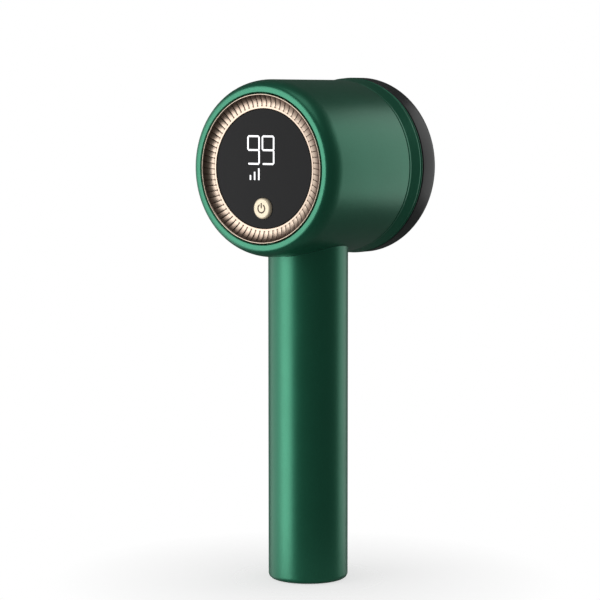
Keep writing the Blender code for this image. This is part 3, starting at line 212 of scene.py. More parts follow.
# %% Common wear
def handled(finish, roughness, smudge=0.06, scratch=0.05):
    """Roughness that rises in cloudy smudges and along fine scratches."""
    smudges = finish.masked(finish.noise(45, 4), 0.45, 0.75)
    lines = finish.masked(finish.noise(900, 2, stretch=(0.12, 0.12, 3.0)), 0.66, 0.74)
    return smudges * smudge + lines * scratch + roughness


def speckled(finish, colour, change=0.06, scale=60):
    """The colour with a slow drift of brightness."""
    darker = tuple(c * (1 - change) for c in colour)
    lighter = tuple(min(1.0, c * (1 + change)) for c in colour)
    return finish.blend(finish.noise(scale, 3), darker, lighter)


# %% [markdown]
# The green paint is a clear coat over coloured metal flake. The flake is a fine cell pattern that
# tilts the surface a little and changes its brightness from cell to cell; the coat over it is
# satin, with faint orange peel.


# %% Metallic green paint
def green_paint():
    finish = Finish("metallic_green_paint")
    flake = finish.cells(5200)
    base = speckled(finish, (0.014, 0.170, 0.092), 0.08)
    spark = finish.blend(flake * 0.45, base, (0.03, 0.235, 0.135))
    dust = finish.masked(finish.noise(310, 5), 0.72, 0.80)
    colour = finish.blend(dust * 0.10, spark, (0.30, 0.36, 0.33))
    peel = finish.relief(finish.noise(420, 2), 0.00003, 0.25)
    tilt = finish.relief(flake, 0.000012, 0.16, under=peel)
    finish.set(
        Base_Color=colour,
        Metallic=0.72,
        Roughness=handled(finish, 0.37, 0.05, 0.03),
        Normal=tilt,
        Coat_Weight=0.40,
        Coat_Roughness=0.30,
    )
    return finish.material


# %% [markdown]
# Rose gold is a pale copper-rich plating. Painted shade darkens it towards the outside of the ring's hollow,
# painted shade fills the grooves and darkens their ends, and tarnish gathers in soft patches.


# %% Rose gold
RIBS = 72
LEAN = math.radians(1.4)
RING_LOW, RING_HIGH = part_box("decor_ring")
RING_OUT = (RING_HIGH.x - RING_LOW.x) / 2
RIB_OUTER, RIB_INNER = RING_OUT - 0.65 * MM, 25.45 * MM


def ring_pattern(finish):
    """How far in from the rim a place is, from 0 to 1, and the painted shade in the grooves and at their
    ends.
    """
    split = finish.node("SeparateXYZ", None, {0: finish.place})
    x = Value(finish, split.outputs[0])
    z = Value(finish, split.outputs[2]) - AXIS_Z
    radius = (x * x + z * z).math("SQRT")
    inward = (RIB_OUTER - radius) * (1 / (RIB_OUTER - RIB_INNER))
    phase = (x.math("ARCTAN2", z) + inward * LEAN) * (RIBS / 2)
    crown = phase.math("SINE").math("ABSOLUTE")
    # Painted shade: the grooves between the ribs are painted dark, with darker dots at their inner ends.
    ribbed = finish.masked(inward, 0.0, 0.03) * (1 - finish.masked(inward, 0.88, 0.92))
    line = 1 - finish.masked(crown, 0.06, 0.34)
    end = finish.masked(inward, 0.79, 0.82) * (1 - finish.masked(inward, 0.92, 0.95))
    dot = end * (1 - finish.masked(crown, 0.42, 0.56))
    return inward, (ribbed * line).math("MAXIMUM", dot)


def rose_gold():
    finish = Finish("rose_gold_plating")
    tarnish = finish.masked(finish.noise(160, 4), 0.52, 0.80)
    inward, groove_shade = ring_pattern(finish)
    # Painted shade: the plating is painted dark brown towards the outside of the hollow and pale towards the
    # lip; the rim stays pale.
    rim = 1 - finish.masked(inward, 0.0, 0.012)
    shade = finish.masked(inward, 0.02, 0.70).math("MAXIMUM", rim)
    shaded_plating = finish.blend(shade, (0.19, 0.112, 0.084), speckled(finish, (0.50, 0.400, 0.320), 0.05, 240))
    toned = finish.blend(tarnish * 0.30, shaded_plating, (0.30, 0.21, 0.16))
    # Painted shade in the grooves and at their ends darkens the plating here.
    finish.set(
        Base_Color=finish.blend(groove_shade * 0.88, toned, (0.060, 0.035, 0.025)),
        Metallic=1.0,
        Roughness=handled(finish, 0.29, 0.08, 0.05),
        Normal=finish.relief(finish.noise(1500, 2), 0.00001, 0.3),
    )
    return finish.material


def cream_gold():
    """The button: satin, spun in fine rings about its own middle."""
    finish = Finish("cream_gold_satin")
    low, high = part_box("power_button")
    middle = (low + high) / 2
    shifted = finish.node("VectorMath", {"operation": "SUBTRACT"}, {0: finish.place, 1: tuple(middle)})
    rings = finish.node(
        "TexWave",
        {"wave_type": "RINGS", "rings_direction": "Y"},
        {"Vector": shifted.outputs[0], "Scale": 900, "Distortion": 0.6, "Detail": 2.0},
    )
    lines = Value(finish, rings.outputs["Fac"])
    colour = finish.blend(lines * 0.35, (0.86, 0.75, 0.56), (0.78, 0.66, 0.47))
    finish.set(
        Base_Color=colour,
        Metallic=0.30,
        Roughness=lines * 0.08 + handled(finish, 0.34, 0.05, 0.03),
        Normal=finish.relief(lines, 0.00001, 0.25),
    )
    return finish.material


# %% Smoked window, lit bars and dark print
def smoked_window():
    finish = Finish("smoked_window")
    prints = finish.masked(finish.noise(70, 5, stretch=(1, 1, 0.5)), 0.50, 0.72)
    finish.set(
        Base_Color=speckled(finish, (0.018, 0.018, 0.019), 0.1, 20),
        Roughness=prints * 0.10 + finish.noise(700, 2) * 0.03 + 0.10,
        Normal=finish.relief(finish.noise(30, 2), 0.00004, 0.15),
        Specular_IOR_Level=0.06,
    )
    return finish.material


def lit_plastic():
    """Milky bars that glow, a little unevenly."""
    finish = Finish("lit_milky_plastic")
    glow = finish.blend(finish.noise(260, 2), (0.93, 0.95, 0.97), (1.0, 1.0, 1.0))
    finish.set(
        Base_Color=finish.blend(finish.noise(500, 2), (0.72, 0.72, 0.74), (0.80, 0.80, 0.82)),
        Roughness=finish.noise(900, 2) * 0.1 + 0.35,
        Emission_Color=glow,
        Emission_Strength=0.8,
        Normal=finish.relief(finish.noise(1800, 2), 0.000008, 0.3),
    )
    return finish.material


def brown_print():
    finish = Finish("brown_print")
    finish.set(
        Base_Color=speckled(finish, (0.095, 0.055, 0.022), 0.15, 900),
        Roughness=finish.noise(1200, 2) * 0.15 + 0.45,
        Normal=finish.relief(finish.noise(2500, 2), 0.00001, 0.3),
    )
    return finish.material


# %% [markdown]
# Moulded plastic takes the fine spark-eroded texture of its mould. Rubbed places are smoother, so
# the gloss varies slowly while the grain stays even.


# %% Moulded plastics and other plain finishes
def moulded(name, colour, roughness=0.42, grain=2600, depth=0.00002):
    finish = Finish(name)
    dust = finish.masked(finish.noise(420, 5), 0.70, 0.78)
    body = speckled(finish, colour, 0.08)
    grey = tuple(c * 0.7 + 0.10 for c in colour)
    finish.set(
        Base_Color=finish.blend(dust * 0.15, body, grey),
        Roughness=handled(finish, roughness, 0.08, 0.04),
        Normal=finish.relief(finish.noise(grain, 3), depth, 0.35),
    )
    return finish.material


def metal(name, colour, roughness=0.28, stretch=(1, 0.08, 1), stain=(0.25, 0.2, 0.16)):
    """Drawn or rolled metal: fine lines one way, and faint stains."""
    finish = Finish(name)
    lines = finish.noise(2400, 3, stretch=stretch)
    stains = finish.masked(finish.noise(130, 5), 0.60, 0.85)
    finish.set(
        Base_Color=finish.blend(stains * 0.25, speckled(finish, colour, 0.06, 300), stain),
        Metallic=1.0,
        Roughness=lines * 0.14 + handled(finish, roughness - 0.05, 0.08, 0.04),
        Normal=finish.relief(lines, 0.000012, 0.35),
    )
    return finish.material


def circuit_laminate():
    """Green solder mask over faint copper traces, with a fine grain."""
    finish = Finish("circuit_laminate")
    brick = finish.node(
        "TexBrick",
        None,
        {"Vector": finish.place, "Scale": 260, "Mortar Size": 0.035},
    )
    traces = 1 - Value(finish, brick.outputs["Fac"])
    colour = finish.blend(traces, (0.05, 0.24, 0.11), (0.02, 0.13, 0.06))
    finish.set(
        Base_Color=colour,
        Roughness=handled(finish, 0.35),
        Normal=finish.relief(traces + finish.noise(3000, 2) * 0.3, 0.00002, 0.4),
    )
    return finish.material


def felt():
    finish = Finish("felt")
    fibres = finish.noise(5200, 6, stretch=(1, 1, 0.3))
    finish.set(
        Base_Color=finish.blend(fibres, (0.42, 0.40, 0.36), (0.72, 0.70, 0.65)),
        Roughness=fibres * 0.1 + 0.85,
        Normal=finish.relief(fibres, 0.0001, 0.8),
    )
    return finish.material


GREEN = green_paint()
ROSE = rose_gold()
CREAM = cream_gold()
WINDOW = smoked_window()
LIT = lit_plastic()
BROWN = brown_print()
BLACK = moulded("black_plastic", (0.016, 0.016, 0.017), 0.33)
WHITE = moulded("white_plastic", (0.78, 0.78, 0.75), 0.5)
STEEL = metal("steel", (0.62, 0.63, 0.65), 0.26)
print("finishes:", len(bpy.data.materials))


# %% [markdown]
# ## Building turned pieces
#
# Nearly everything here comes off a lathe or out of a round mould. A turned piece is a closed
# outline swept about an axis. Corners are listed with the radius of their round, because a real
# edge is never sharp, and the round is what catches a line of light.


# %% Outlines
def rounded(corners, steps=4):
    """(radius, height, round) corners as a closed outline with every round filled in."""
    outline = []
    count = len(corners)
    for i, (r, h, size) in enumerate(corners):
        here = Vector((r, h))
        if not size:
            outline.append((r, h))
            continue
        before = Vector(corners[i - 1][:2]) - here
        after = Vector(corners[(i + 1) % count][:2]) - here
        start = here + before.normalized() * min(size, before.length * 0.49)
        end = here + after.normalized() * min(size, after.length * 0.49)
        for k in range(steps + 1):
            t = k / steps
            point = start * (1 - t) ** 2 + here * 2 * t * (1 - t) + end * t**2
            outline.append((point.x, point.y))
    return outline


def mesh_object(name, verts, faces, material, sharp=32):
    """A mesh with its faces turned outwards, smooth except at sharp corners."""
    mesh = bpy.data.meshes.new(name)
    mesh.from_pydata(verts, [], faces)
    tidy = bmesh.new()
    tidy.from_mesh(mesh)
    bmesh.ops.remove_doubles(tidy, verts=tidy.verts, dist=1e-7)
    bmesh.ops.recalc_face_normals(tidy, faces=tidy.faces)
    tidy.to_mesh(mesh)
    tidy.free()
    mesh.shade_smooth()
    mesh.set_sharp_from_angle(angle=math.radians(sharp))
    mesh.materials.append(material)
    obj = bpy.data.objects.new(name, mesh)
    bpy.context.scene.collection.objects.link(obj)
    return obj


def head_point(r, y, angle):
    """A point about the head's axis; angle runs clockwise from the top, seen from the front."""
    return (r * math.sin(angle), y, AXIS_Z + r * math.cos(angle))


def grip_point(r, z, angle):
    return (r * math.cos(angle), r * math.sin(angle), z)


def swept(outline, place, steps, closed=True):
    """Vertices and faces of an outline carried once round an axis."""
    verts = []
    faces = []
    count = len(outline)
    for j in range(steps):
        angle = math.tau * j / steps
        verts.extend(place(r, h, angle) for r, h in outline)
    for j in range(steps):
        near, far = j * count, (j + 1) % steps * count
        for i in range(count if closed else count - 1):
            k = (i + 1) % count
            faces.append((near + i, near + k, far + k, far + i))
    return verts, faces


def turned(name, corners, material, place=head_point, steps=192):
    verts, faces = swept(rounded(corners), place, steps)
    return mesh_object(name, verts, faces, material)


def joined(name, parts, material, sharp=32):
    """One mesh from several (vertices, faces) pairs."""
    verts = []
    faces = []
    for part_verts, part_faces in parts:
        start = len(verts)
        verts.extend(part_verts)
        faces.extend(tuple(start + i for i in face) for face in part_faces)
    return mesh_object(name, verts, faces, material, sharp)


def stands_for(obj, body, slot, *nodes):
    """obj replaces the CAD nodes and moves with the body; slot is not used."""
    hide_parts(*nodes)
    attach(obj, body)
    print("made", obj.name, len(obj.data.polygons), "faces")
    return obj


# %% [markdown]
# ## The barrel
#
# A round tub with a soft shoulder at the front. It is moulded in one piece and painted, so there
# is no seam until the collar at the rear. The front edge is broken by a small chamfer, and the
# rear edge by a very small round that shows as a fine line at the seam.

# %% Barrel
RING_SEAT = (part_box("decor_ring")[1].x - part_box("decor_ring")[0].x) / 2 + 0.35 * MM
SHOULDER_IN = 3.7 * MM
SHOULDER_BACK = 8.0 * MM
WALL = 2.2 * MM
SKIN = BARREL - 0.25 * MM


def barrel():
    arc = []
    for i in range(17):
        t = math.pi / 2 * i / 16
        radius = SKIN - SHOULDER_IN * (1 - math.cos(t))
        arc.append((radius, FRONT_Y + SHOULDER_BACK * (1 - math.sin(t)), 0))
    corners = [
        (SKIN, SEAM_Y, 0.35 * MM),
        *arc,
        (RING_SEAT + 0.4 * MM, FRONT_Y, 0.15 * MM),
        (RING_SEAT, FRONT_Y + 0.6 * MM, 0.2 * MM),
        (RING_SEAT, FRONT_Y + 5.3 * MM, 0),
        (RING_SEAT - 2.8 * MM, FRONT_Y + 5.3 * MM, 0.2 * MM),
        (RING_SEAT - 2.8 * MM, FRONT_Y + 8.3 * MM, 0.2 * MM),
        (BARREL - WALL, FRONT_Y + 8.3 * MM, 0),
        (BARREL - WALL, SEAM_Y, 0.25 * MM),
    ]
    return turned("barrel", corners, GREEN)


stands_for(barrel(), "casing", "green_shell", "head_shell")

# %% [markdown]
# ## The grip
#
# A plain tube whose top is saddled to the barrel. Its last edge swells outwards a little, like the
# fillet a mould leaves where two rounds meet, so the join reads as one body.

# %% Grip
SADDLE = SKIN + 0.05 * MM
FOOT_ROUND = 2.4 * MM
FOOT_OPENING = 14.3 * MM


def saddle_height(x):
    return AXIS_Z - math.sqrt(SADDLE**2 - x**2)


def grip():
    steps = 160
    rings = [(GRIP - 2 * MM, None, 6 * MM), (GRIP - 2 * MM, None, 0)]
    for below, out in ((0, 0.22), (0.06, 0.12), (0.15, 0.05), (0.3, 0.0), (0.9, 0.0), (3.0, 0.0)):
        rings.append((GRIP + out * MM, None, below * MM))
    for z in (130 * MM, 100 * MM, 65 * MM, 30 * MM, FOOT_ROUND):
        rings.append((GRIP, z, 0))
    for i in range(1, 9):
        t = math.pi / 2 * i / 8
        rings.append((GRIP - FOOT_ROUND + FOOT_ROUND * math.cos(t), FOOT_ROUND - FOOT_ROUND * math.sin(t), 0))
    rings.extend([(FOOT_OPENING + 0.1 * MM, 0, 0), (FOOT_OPENING, 0.1 * MM, 0), (FOOT_OPENING, 2.4 * MM, 0)])
    rings.append((GRIP - 2 * MM, 2.4 * MM, 0))
    verts = []
    faces = []
    for j in range(steps):
        angle = math.tau * j / steps
        for radius, z, below in rings:
            x = radius * math.cos(angle)
            verts.append(grip_point(radius, saddle_height(x) - below if z is None else z, angle))
    count = len(rings)
    for j in range(steps):
        near, far = j * count, (j + 1) % steps * count
        for i in range(count):
            k = (i + 1) % count
            faces.append((near + i, near + k, far + k, far + i))
    return mesh_object("grip", verts, faces, GREEN)


stands_for(grip(), "casing", "green_shell", "handle_tube")

# %% [markdown]
# ## The rear collar
#
# It slides into the barrel and flares out to meet the screw ring. A narrow land at the seam keeps
# the barrel's width, then the surface steps in and rises as a cone. A groove and a thin lip at its
# end catch the light. Behind the lip is the threaded nose.


# %% Thread ribs shared by the collar and the ring
def rib(inner, outer, middle, start, sweep, lead, width=1.2 * MM, steps=24):
    """A helical rib with sloping flanks and tapered ends, as vertices and faces."""
    verts = []
    faces = []
    for i in range(steps + 1):
        t = i / steps
        fade = min(1.0, 6 * t, 6 * (1 - t))
        reach = inner + (outer - inner) * max(0.08, fade)
        angle = start + sweep * t
        y = middle + lead * sweep * t / math.tau
        for r, h in ((inner, -width / 2), (reach, -width / 3), (reach, width / 3), (inner, width / 2)):
            verts.append((r * math.cos(angle), y + h, AXIS_Z - r * math.sin(angle)))
    for i in range(steps):
        for k in range(4):
            a, b = 4 * i + k, 4 * i + (k + 1) % 4
            faces.append((a, b, b + 4, a + 4))
    faces.extend([(0, 1, 2, 3), (4 * steps, 4 * steps + 1, 4 * steps + 2, 4 * steps + 3)])
    return verts, faces


LEAD = 12 * MM
NOSE = FLARE - 3.9 * MM
LIP_Y = COLLAR_HIGH.y - 5.5 * MM


def collar():
    start = SEAM_Y + 0.3 * MM
    waist = SKIN - 0.60 * MM
    flare = []
    for i in range(19):
        t = 1 - i / 18
        flare.append((waist + (FLARE - waist) * t, start + (1.5 + 5.7 * t) * MM, 0))
    spigot = BARREL - WALL - 0.3 * MM
    corners = [
        (NOSE, COLLAR_HIGH.y, 0.4 * MM),
        (NOSE, LIP_Y, 0),
        (FLARE - 0.30 * MM, LIP_Y, 0.25 * MM),
        (FLARE - 0.02 * MM, LIP_Y - 0.6 * MM, 0.4 * MM),
        (FLARE - 0.50 * MM, LIP_Y - 0.9 * MM, 0.15 * MM),
        (FLARE - 0.30 * MM, LIP_Y - 1.3 * MM, 0.2 * MM),
        *flare[2:],
        (SKIN, start + 1.1 * MM, 0.2 * MM),
        (SKIN, start, 0.2 * MM),
        (spigot, start, 0),
        (spigot, COLLAR_LOW.y, 0.3 * MM),
        (spigot - 2.4 * MM, COLLAR_LOW.y, 0.3 * MM),
        (spigot - 2.4 * MM, COLLAR_HIGH.y, 0.4 * MM),
    ]
    parts = [swept(rounded(corners), head_point, 192)]
    for i in range(4):
        parts.append(
            rib(NOSE - 0.3 * MM, NOSE + 0.9 * MM, LIP_Y + 1.3 * MM, math.tau * i / 4, math.radians(80), LEAD)
        )
    made = joined("collar", parts, GREEN)
    slots = []
    for side in (-1, 1):
        low = Vector((-2.3 * MM, COLLAR_HIGH.y - 2.4 * MM, AXIS_Z + side * 33.3 * MM - 2.5 * MM))
        high = Vector((2.3 * MM, COLLAR_HIGH.y + 1 * MM, AXIS_Z + side * 33.3 * MM + 2.5 * MM))
        slots.append(box_part(low, high))
    return carved(made, joined("key_slots", slots, GREEN))


def box_part(low, high):
    """A plain box as vertices and faces."""
    verts = [(x, y, z) for x in (low[0], high[0]) for y in (low[1], high[1]) for z in (low[2], high[2])]
    faces = [(0, 1, 3, 2), (4, 6, 7, 5), (0, 4, 5, 1), (2, 3, 7, 6), (0, 2, 6, 4), (1, 5, 7, 3)]
    return verts, faces


def carved(obj, cutter):
    """obj with the cutter's shape taken out for good; the cutter is used up."""
    step = obj.modifiers.new("carve", "BOOLEAN")
    step.operation = "DIFFERENCE"
    step.solver = "EXACT"
    step.use_self = True
    step.object = cutter
    graph = bpy.context.evaluated_depsgraph_get()
    mesh = bpy.data.meshes.new_from_object(obj.evaluated_get(graph))
    obj.modifiers.clear()
    obj.data = mesh
    mesh.shade_smooth()
    mesh.set_sharp_from_angle(angle=math.radians(32))
    bpy.data.objects.remove(cutter, do_unlink=True)
    return obj


stands_for(collar(), "casing", "green_shell", "rear_collar")

# %% [markdown]
# ## The screw ring
#
# Black, straight-sided and rounded over at the end, with a small inward lip around the foil. It
# is a screwed cover: a few steep thread ribs inside engage those on the collar's nose.


# %% Screw ring
def screw_ring():
    low, high = GUARD_LOW.y, GUARD_HIGH.y
    straight = low + 7.4 * MM
    lip = 31.6 * MM
    nose = []
    for i in range(25):
        t = math.pi / 2 * (1 - i / 24)
        radius = lip + (FLARE - lip) * max(0.0, math.cos(t)) ** 1.33
        nose.append((radius, straight + (high - straight) * math.sin(t) ** 1.33, 0))
    foil_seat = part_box("shaving_foil")[1].y + 0.3 * MM
    flange_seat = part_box("foil_frame")[1].y - 4.2 * MM + 0.3 * MM
    corners = [
        *nose,
        (FLARE, low, 0.35 * MM),
        (NOSE + 1.2 * MM, low, 0.3 * MM),
        (NOSE + 1.2 * MM, low + 5.8 * MM, 0),
        (NOSE - 0.3 * MM, low + 5.8 * MM, 0),
        (NOSE - 0.3 * MM, flange_seat, 0),
        (31.3 * MM, flange_seat, 0),
        (31.3 * MM, foil_seat, 0),
        (28.4 * MM, foil_seat, 0.15 * MM),
        (28.4 * MM, high, 1.2 * MM),
    ]
    parts = [swept(rounded(corners), head_point, 192)]
    lag = math.radians(40)
    middle = LIP_Y + 1.3 * MM - LEAD / 8 + LEAD * lag / math.tau
    for i in range(4):
        parts.append(
            rib(NOSE + 1.5 * MM, NOSE + 0.3 * MM, middle, math.tau * i / 4 + lag, math.radians(66), LEAD)
        )
    return joined("screw_ring", parts, BLACK)


stands_for(screw_ring(), "screw_ring", "black_plastic", "guard_ring")

# %% [markdown]
# ## Foil, its frame and the cutter
#
# The foil is a thin steel sheet with many round holes in staggered rings: lint goes in through
# them and the skin of the cloth stays out. It is drawn as a flat outline with holes, so that the
# cutter can really be seen through it.


# %% Foil and frame
def circle(radius, count, centre=(0, 0), turn=0.0):
    points = []
    for i in range(count):
        angle = turn + math.tau * i / count
        points.append((centre[0] + radius * math.cos(angle), centre[1] + radius * math.sin(angle)))
    return points


def sheet(name, outlines, low, high, material, edge=0.0):
    """A flat outline with holes about the head's axis, from low to high along Y."""
    curve = bpy.data.curves.new(name, "CURVE")
    curve.dimensions = "2D"
    curve.fill_mode = "BOTH"
    curve.extrude = (high - low) / 2 - edge
    curve.bevel_depth = edge
    curve.bevel_resolution = 1
    for outline in outlines:
        spline = curve.splines.new("POLY")
        spline.points.add(len(outline) - 1)
        spline.use_cyclic_u = True
        for point, (x, y) in zip(spline.points, outline):
            point.co = (x, y, 0, 1)
    guide = bpy.data.objects.new(name, curve)
    bpy.context.scene.collection.objects.link(guide)
    graph = bpy.context.evaluated_depsgraph_get()
    mesh = bpy.data.meshes.new_from_object(guide.evaluated_get(graph))
    bpy.data.objects.remove(guide, do_unlink=True)
    mesh.transform(
        Matrix.Translation((0, (low + high) / 2, AXIS_Z)) @ Matrix.Rotation(math.pi / 2, 4, "X")
    )
    verts = [tuple(v.co) for v in mesh.vertices]
    faces = [tuple(p.vertices) for p in mesh.polygons]
    return mesh_object(name, verts, faces, material)


def foil():
    low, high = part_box("shaving_foil")
    outlines = [circle((high.x - low.x) / 2, 128)]
    for ring in range(1, 14):
        count = 6 * ring
        for centre in circle(1.98 * MM * ring, count, turn=math.pi / count * (ring % 2)):
            outlines.append(circle(0.72 * MM, 10, centre))
    return sheet("foil", outlines, low.y, high.y, STEEL)


def frame_with_keys():
    low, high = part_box("foil_frame")
    base = COLLAR_HIGH.y + 0.3 * MM
    step = base + 2.5 * MM
    outer = (high.x - low.x) / 2
    corners = [
        (31.0 * MM, high.y, 0.2 * MM),
        (31.0 * MM, step, 0),
        (outer, step, 0.3 * MM),
        (outer, base, 0.3 * MM),
        (28.8 * MM, base, 0.3 * MM),
        (28.8 * MM, high.y, 0.2 * MM),
    ]
    parts = [swept(rounded(corners), head_point, 160)]
    for side in (-1, 1):
        near, far = sorted((AXIS_Z + side * 32.6 * MM, AXIS_Z + side * 33.4 * MM))
        parts.append(box_part((-2 * MM, low.y, near), (2 * MM, base + 1 * MM, far)))
    return joined("foil_carrier_ring", parts, BLACK)


stands_for(foil(), "foil_carrier", "steel", "shaving_foil")
stands_for(frame_with_keys(), "foil_carrier", "black_plastic", "foil_frame")


# %% Cutter
def leaves(count=6, root=7.6 * MM, reach=27.4 * MM, sweep=math.radians(20)):
    """Swept leaves with rounded tips, as one outline."""
    edge = (
        (-0.30, 0.00, 0.00),
        (-0.20, 0.25, 0.28),
        (-0.15, 0.55, 0.60),
        (-0.10, 0.85, 0.90),
        (-0.07, 0.98, 0.985),
        (0.00, 1.03, 1.00),
        (0.05, 0.98, 0.975),
        (0.08, 0.80, 0.85),
        (0.10, 0.50, 0.55),
        (0.18, 0.20, 0.24),
        (0.30, 0.00, 0.00),
    )
    pitch = math.tau / count
    points = []
    for leaf in range(count):
        for share, swing, out in edge:
            angle = -(pitch * leaf + share * pitch + swing * sweep)
            radius = root + (reach - root) * out
            points.append((radius * math.cos(angle), radius * math.sin(angle)))
    points.reverse()
    return points


def cutter():
    low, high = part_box("cutter_blade")
    outlines = [leaves(), circle(3.3 * MM, 32)]
    for centre in circle(5.4 * MM, 3):
        outlines.append(circle(1.2 * MM, 16, (centre[0], -centre[1])))
    ground = metal("ground_steel", (0.66, 0.66, 0.67), 0.22)
    return sheet("cutter", outlines, low.y, high.y, ground, 0.08 * MM)


stands_for(cutter(), "rotor", "steel", "cutter_blade")

# %% [markdown]
# ## The ribbed ring
#
# This is the showpiece of the front. A thin plain rim stands outside; inside it the surface
# falls in a hollow curve to a plain lip around the window. The hollow carries seventy-two
# ribs, and the grooves between them lean as they run inwards. The ring is a fine grid in
# radius and angle, and each point is lifted by the rounded section of its rib.

# %% Ribbed ring
WINDOW_IN = 24.98 * MM


def ribbed_surface():
    """(radius, depth, rib height, lean) along the ring's face, from the rim to the lip."""
    rim = RING_OUT - 0.5 * MM
    rows = [(RING_OUT, 0.35, 0, 0), (RING_OUT - 0.08 * MM, 0.10, 0, 0), (RING_OUT - 0.2 * MM, 0.0, 0, 0)]
    rows.extend([(rim + 0.1 * MM, 0.0, 0, 0), (rim, 0.08, 0, 0), (RIB_OUTER, 0.45, 0, 0)])
    count = 18
    for i in range(count + 1):
        t = i / count
        radius = RIB_OUTER + (RIB_INNER - RIB_OUTER) * t
        hollow = 0.45 + 1.85 * (1 - (1 - t) ** 2.3)
        swell = max(0.0, math.sin(math.pi * min(1.0, 0.03 + 1.04 * t))) ** 0.4
        rows.append((radius, hollow, 0.20 * swell, t))
    rows.extend([(WINDOW_IN + 0.15 * MM, 2.31, 0, 1), (WINDOW_IN, 2.40, 0, 1), (WINDOW_IN, 3.1, 0, 1)])
    return rows


def ribbed_ring():
    per_rib = 16
    steps = RIBS * per_rib
    rows = ribbed_surface()
    back = [(27.0 * MM, 3.1), (27.0 * MM, 5.0), (RING_OUT, 5.0)]
    count = len(rows) + len(back)
    verts = []
    for j in range(steps):
        angle = math.tau * j / steps
        crown = abs(math.sin(math.pi * j / per_rib)) ** 0.35
        for radius, depth, height, t in rows:
            lifted = depth * MM - height * MM * crown
            verts.append(head_point(radius, FRONT_Y + lifted, angle - LEAN * t))
        for radius, depth in back:
            verts.append(head_point(radius, FRONT_Y + depth * MM, angle))
    faces = []
    for j in range(steps):
        near, far = j * count, (j + 1) % steps * count
        for i in range(count):
            k = (i + 1) % count
            faces.append((near + i, near + k, far + k, far + i))
    return mesh_object("ribbed_ring", verts, faces, ROSE, 60)


stands_for(ribbed_ring(), "casing", "rose_gold", "decor_ring")

# %% [markdown]
# ## The window and what glows behind it
#
# The window is one smoked moulding, polished flat, with a hole for the button. The bars of the
# digits and of the gauge are the ends of a milky light guide that come up flush with its face.
# Their ends are cut to points, as lamp makers draw them, so a thin dark line divides each pair.

# %% Window
LENS_LOW, LENS_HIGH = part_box("display_lens")
BUTTON_LOW, BUTTON_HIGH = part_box("power_button")
BUTTON = Vector(((BUTTON_LOW.x + BUTTON_HIGH.x) / 2, BUTTON_LOW.y, (BUTTON_LOW.z + BUTTON_HIGH.z) / 2))
BUTTON_RADIUS = 4.35 * MM
BUTTON_EDGE = 0.8 * MM
BUTTON_FACE = max(BUTTON_LOW.y, LENS_LOW.y - 1.5 * MM)


def window():
    face, back = LENS_LOW.y, LENS_HIGH.y
    corners = [
        (0.0, back, 0),
        (26.7 * MM, back, 0),
        (26.7 * MM, back - 1.5 * MM, 0),
        (24.75 * MM, back - 1.5 * MM, 0),
        (24.75 * MM, face, 0.25 * MM),
        (0.0, face, 0),
    ]
    verts, faces = swept(rounded(corners), head_point, 160, closed=False)
    pane = mesh_object("window", verts, faces, WINDOW)
    clear = BUTTON_RADIUS + 0.25 * MM
    hole = [(0.0, back + MM, 0), (clear, back + MM, 0), (clear, face - MM, 0), (0.0, face - MM, 0)]
    verts, faces = swept(rounded(hole), button_point, 96, closed=False)
    return carved(pane, mesh_object("button_hole", verts, faces, WINDOW))


def button_point(r, y, angle):
    """A point about the button's own axis."""
    return (BUTTON.x + r * math.sin(angle), y, BUTTON.z + r * math.cos(angle))


stands_for(window(), "casing", "smoked_window", "display_lens")


# %% Lit bars
def prism(points, low, high):
    """A flat shape in x and z, given about the head's axis, as thick as from low to high."""
    count = len(points)
    verts = [(x, y, AXIS_Z + z) for y in (low, high) for x, z in points]
    faces = [tuple(range(count)), tuple(range(2 * count - 1, count - 1, -1))]
    for i in range(count):
        k = (i + 1) % count
        faces.append((i, k, count + k, count + i))
    return verts, faces


def lamp_bar(x, z, length, thick, upright):
    """A bar with pointed ends, its points blunted."""
    half, t = length / 2, thick / 2
    blunt = t * 0.35
    points = [
        (-half, -blunt), (-half + t - blunt, -t), (half - t + blunt, -t),
        (half, -blunt), (half, blunt), (half - t + blunt, t),
        (-half + t - blunt, t), (-half, blunt),
    ]  # fmt: skip
    if upright:
        points = [(-b, a) for a, b in points]
    return [(x + a, z + b) for a, b in points]


def lit_bars():
    low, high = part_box("light_guide")
    face = LENS_LOW.y - 0.03 * MM
    middle_x = (low.x + high.x) / 2
    top = high.z - AXIS_Z - 2 * MM
    width, height, thick, pitch, gap = 6.6 * MM, 12.2 * MM, 0.76 * MM, 7.6 * MM, 0.10 * MM
    middle_z = top - height / 2
    reach_x, reach_z = (width - thick) / 2, (height - thick) / 2
    across, along = width - thick - 2 * gap, (height - thick) / 2 - 2 * gap
    parts = []
    for side in (-1, 1):
        x = middle_x + side * pitch / 2
        for z in (-reach_z, 0, reach_z):
            parts.append(lamp_bar(x, middle_z + z, across, thick, False))
        for x_side, z_side in ((-1, 1), (1, 1), (1, -1)):
            parts.append(lamp_bar(x + x_side * reach_x, middle_z + z_side * reach_z / 2, along, thick, True))
    foot = low.z - AXIS_Z + 2 * MM
    for x, rise in ((-6.8, 2.0), (-4.6, 3.4), (-2.4, 4.9)):
        left, right = (x - 0.38) * MM, (x + 0.38) * MM
        top = foot + rise * MM
        parts.append([(left, foot), (right, foot), (right, top), (left, top)])
    solids = [prism(points, face, LENS_HIGH.y - 0.1 * MM) for points in parts]
    solids.append(box_part((low.x, LENS_HIGH.y + 0.3 * MM, low.z), (high.x, high.y, high.z)))
    return joined("lit_bars", solids, LIT)


stands_for(lit_bars(), "casing", "milky_plastic", "light_guide")

# %% [markdown]
# ## The power button
#
# A slightly domed cap that stands proud of the window, with a round edge. The usual power mark,
# a broken circle with a stroke, is printed on it.


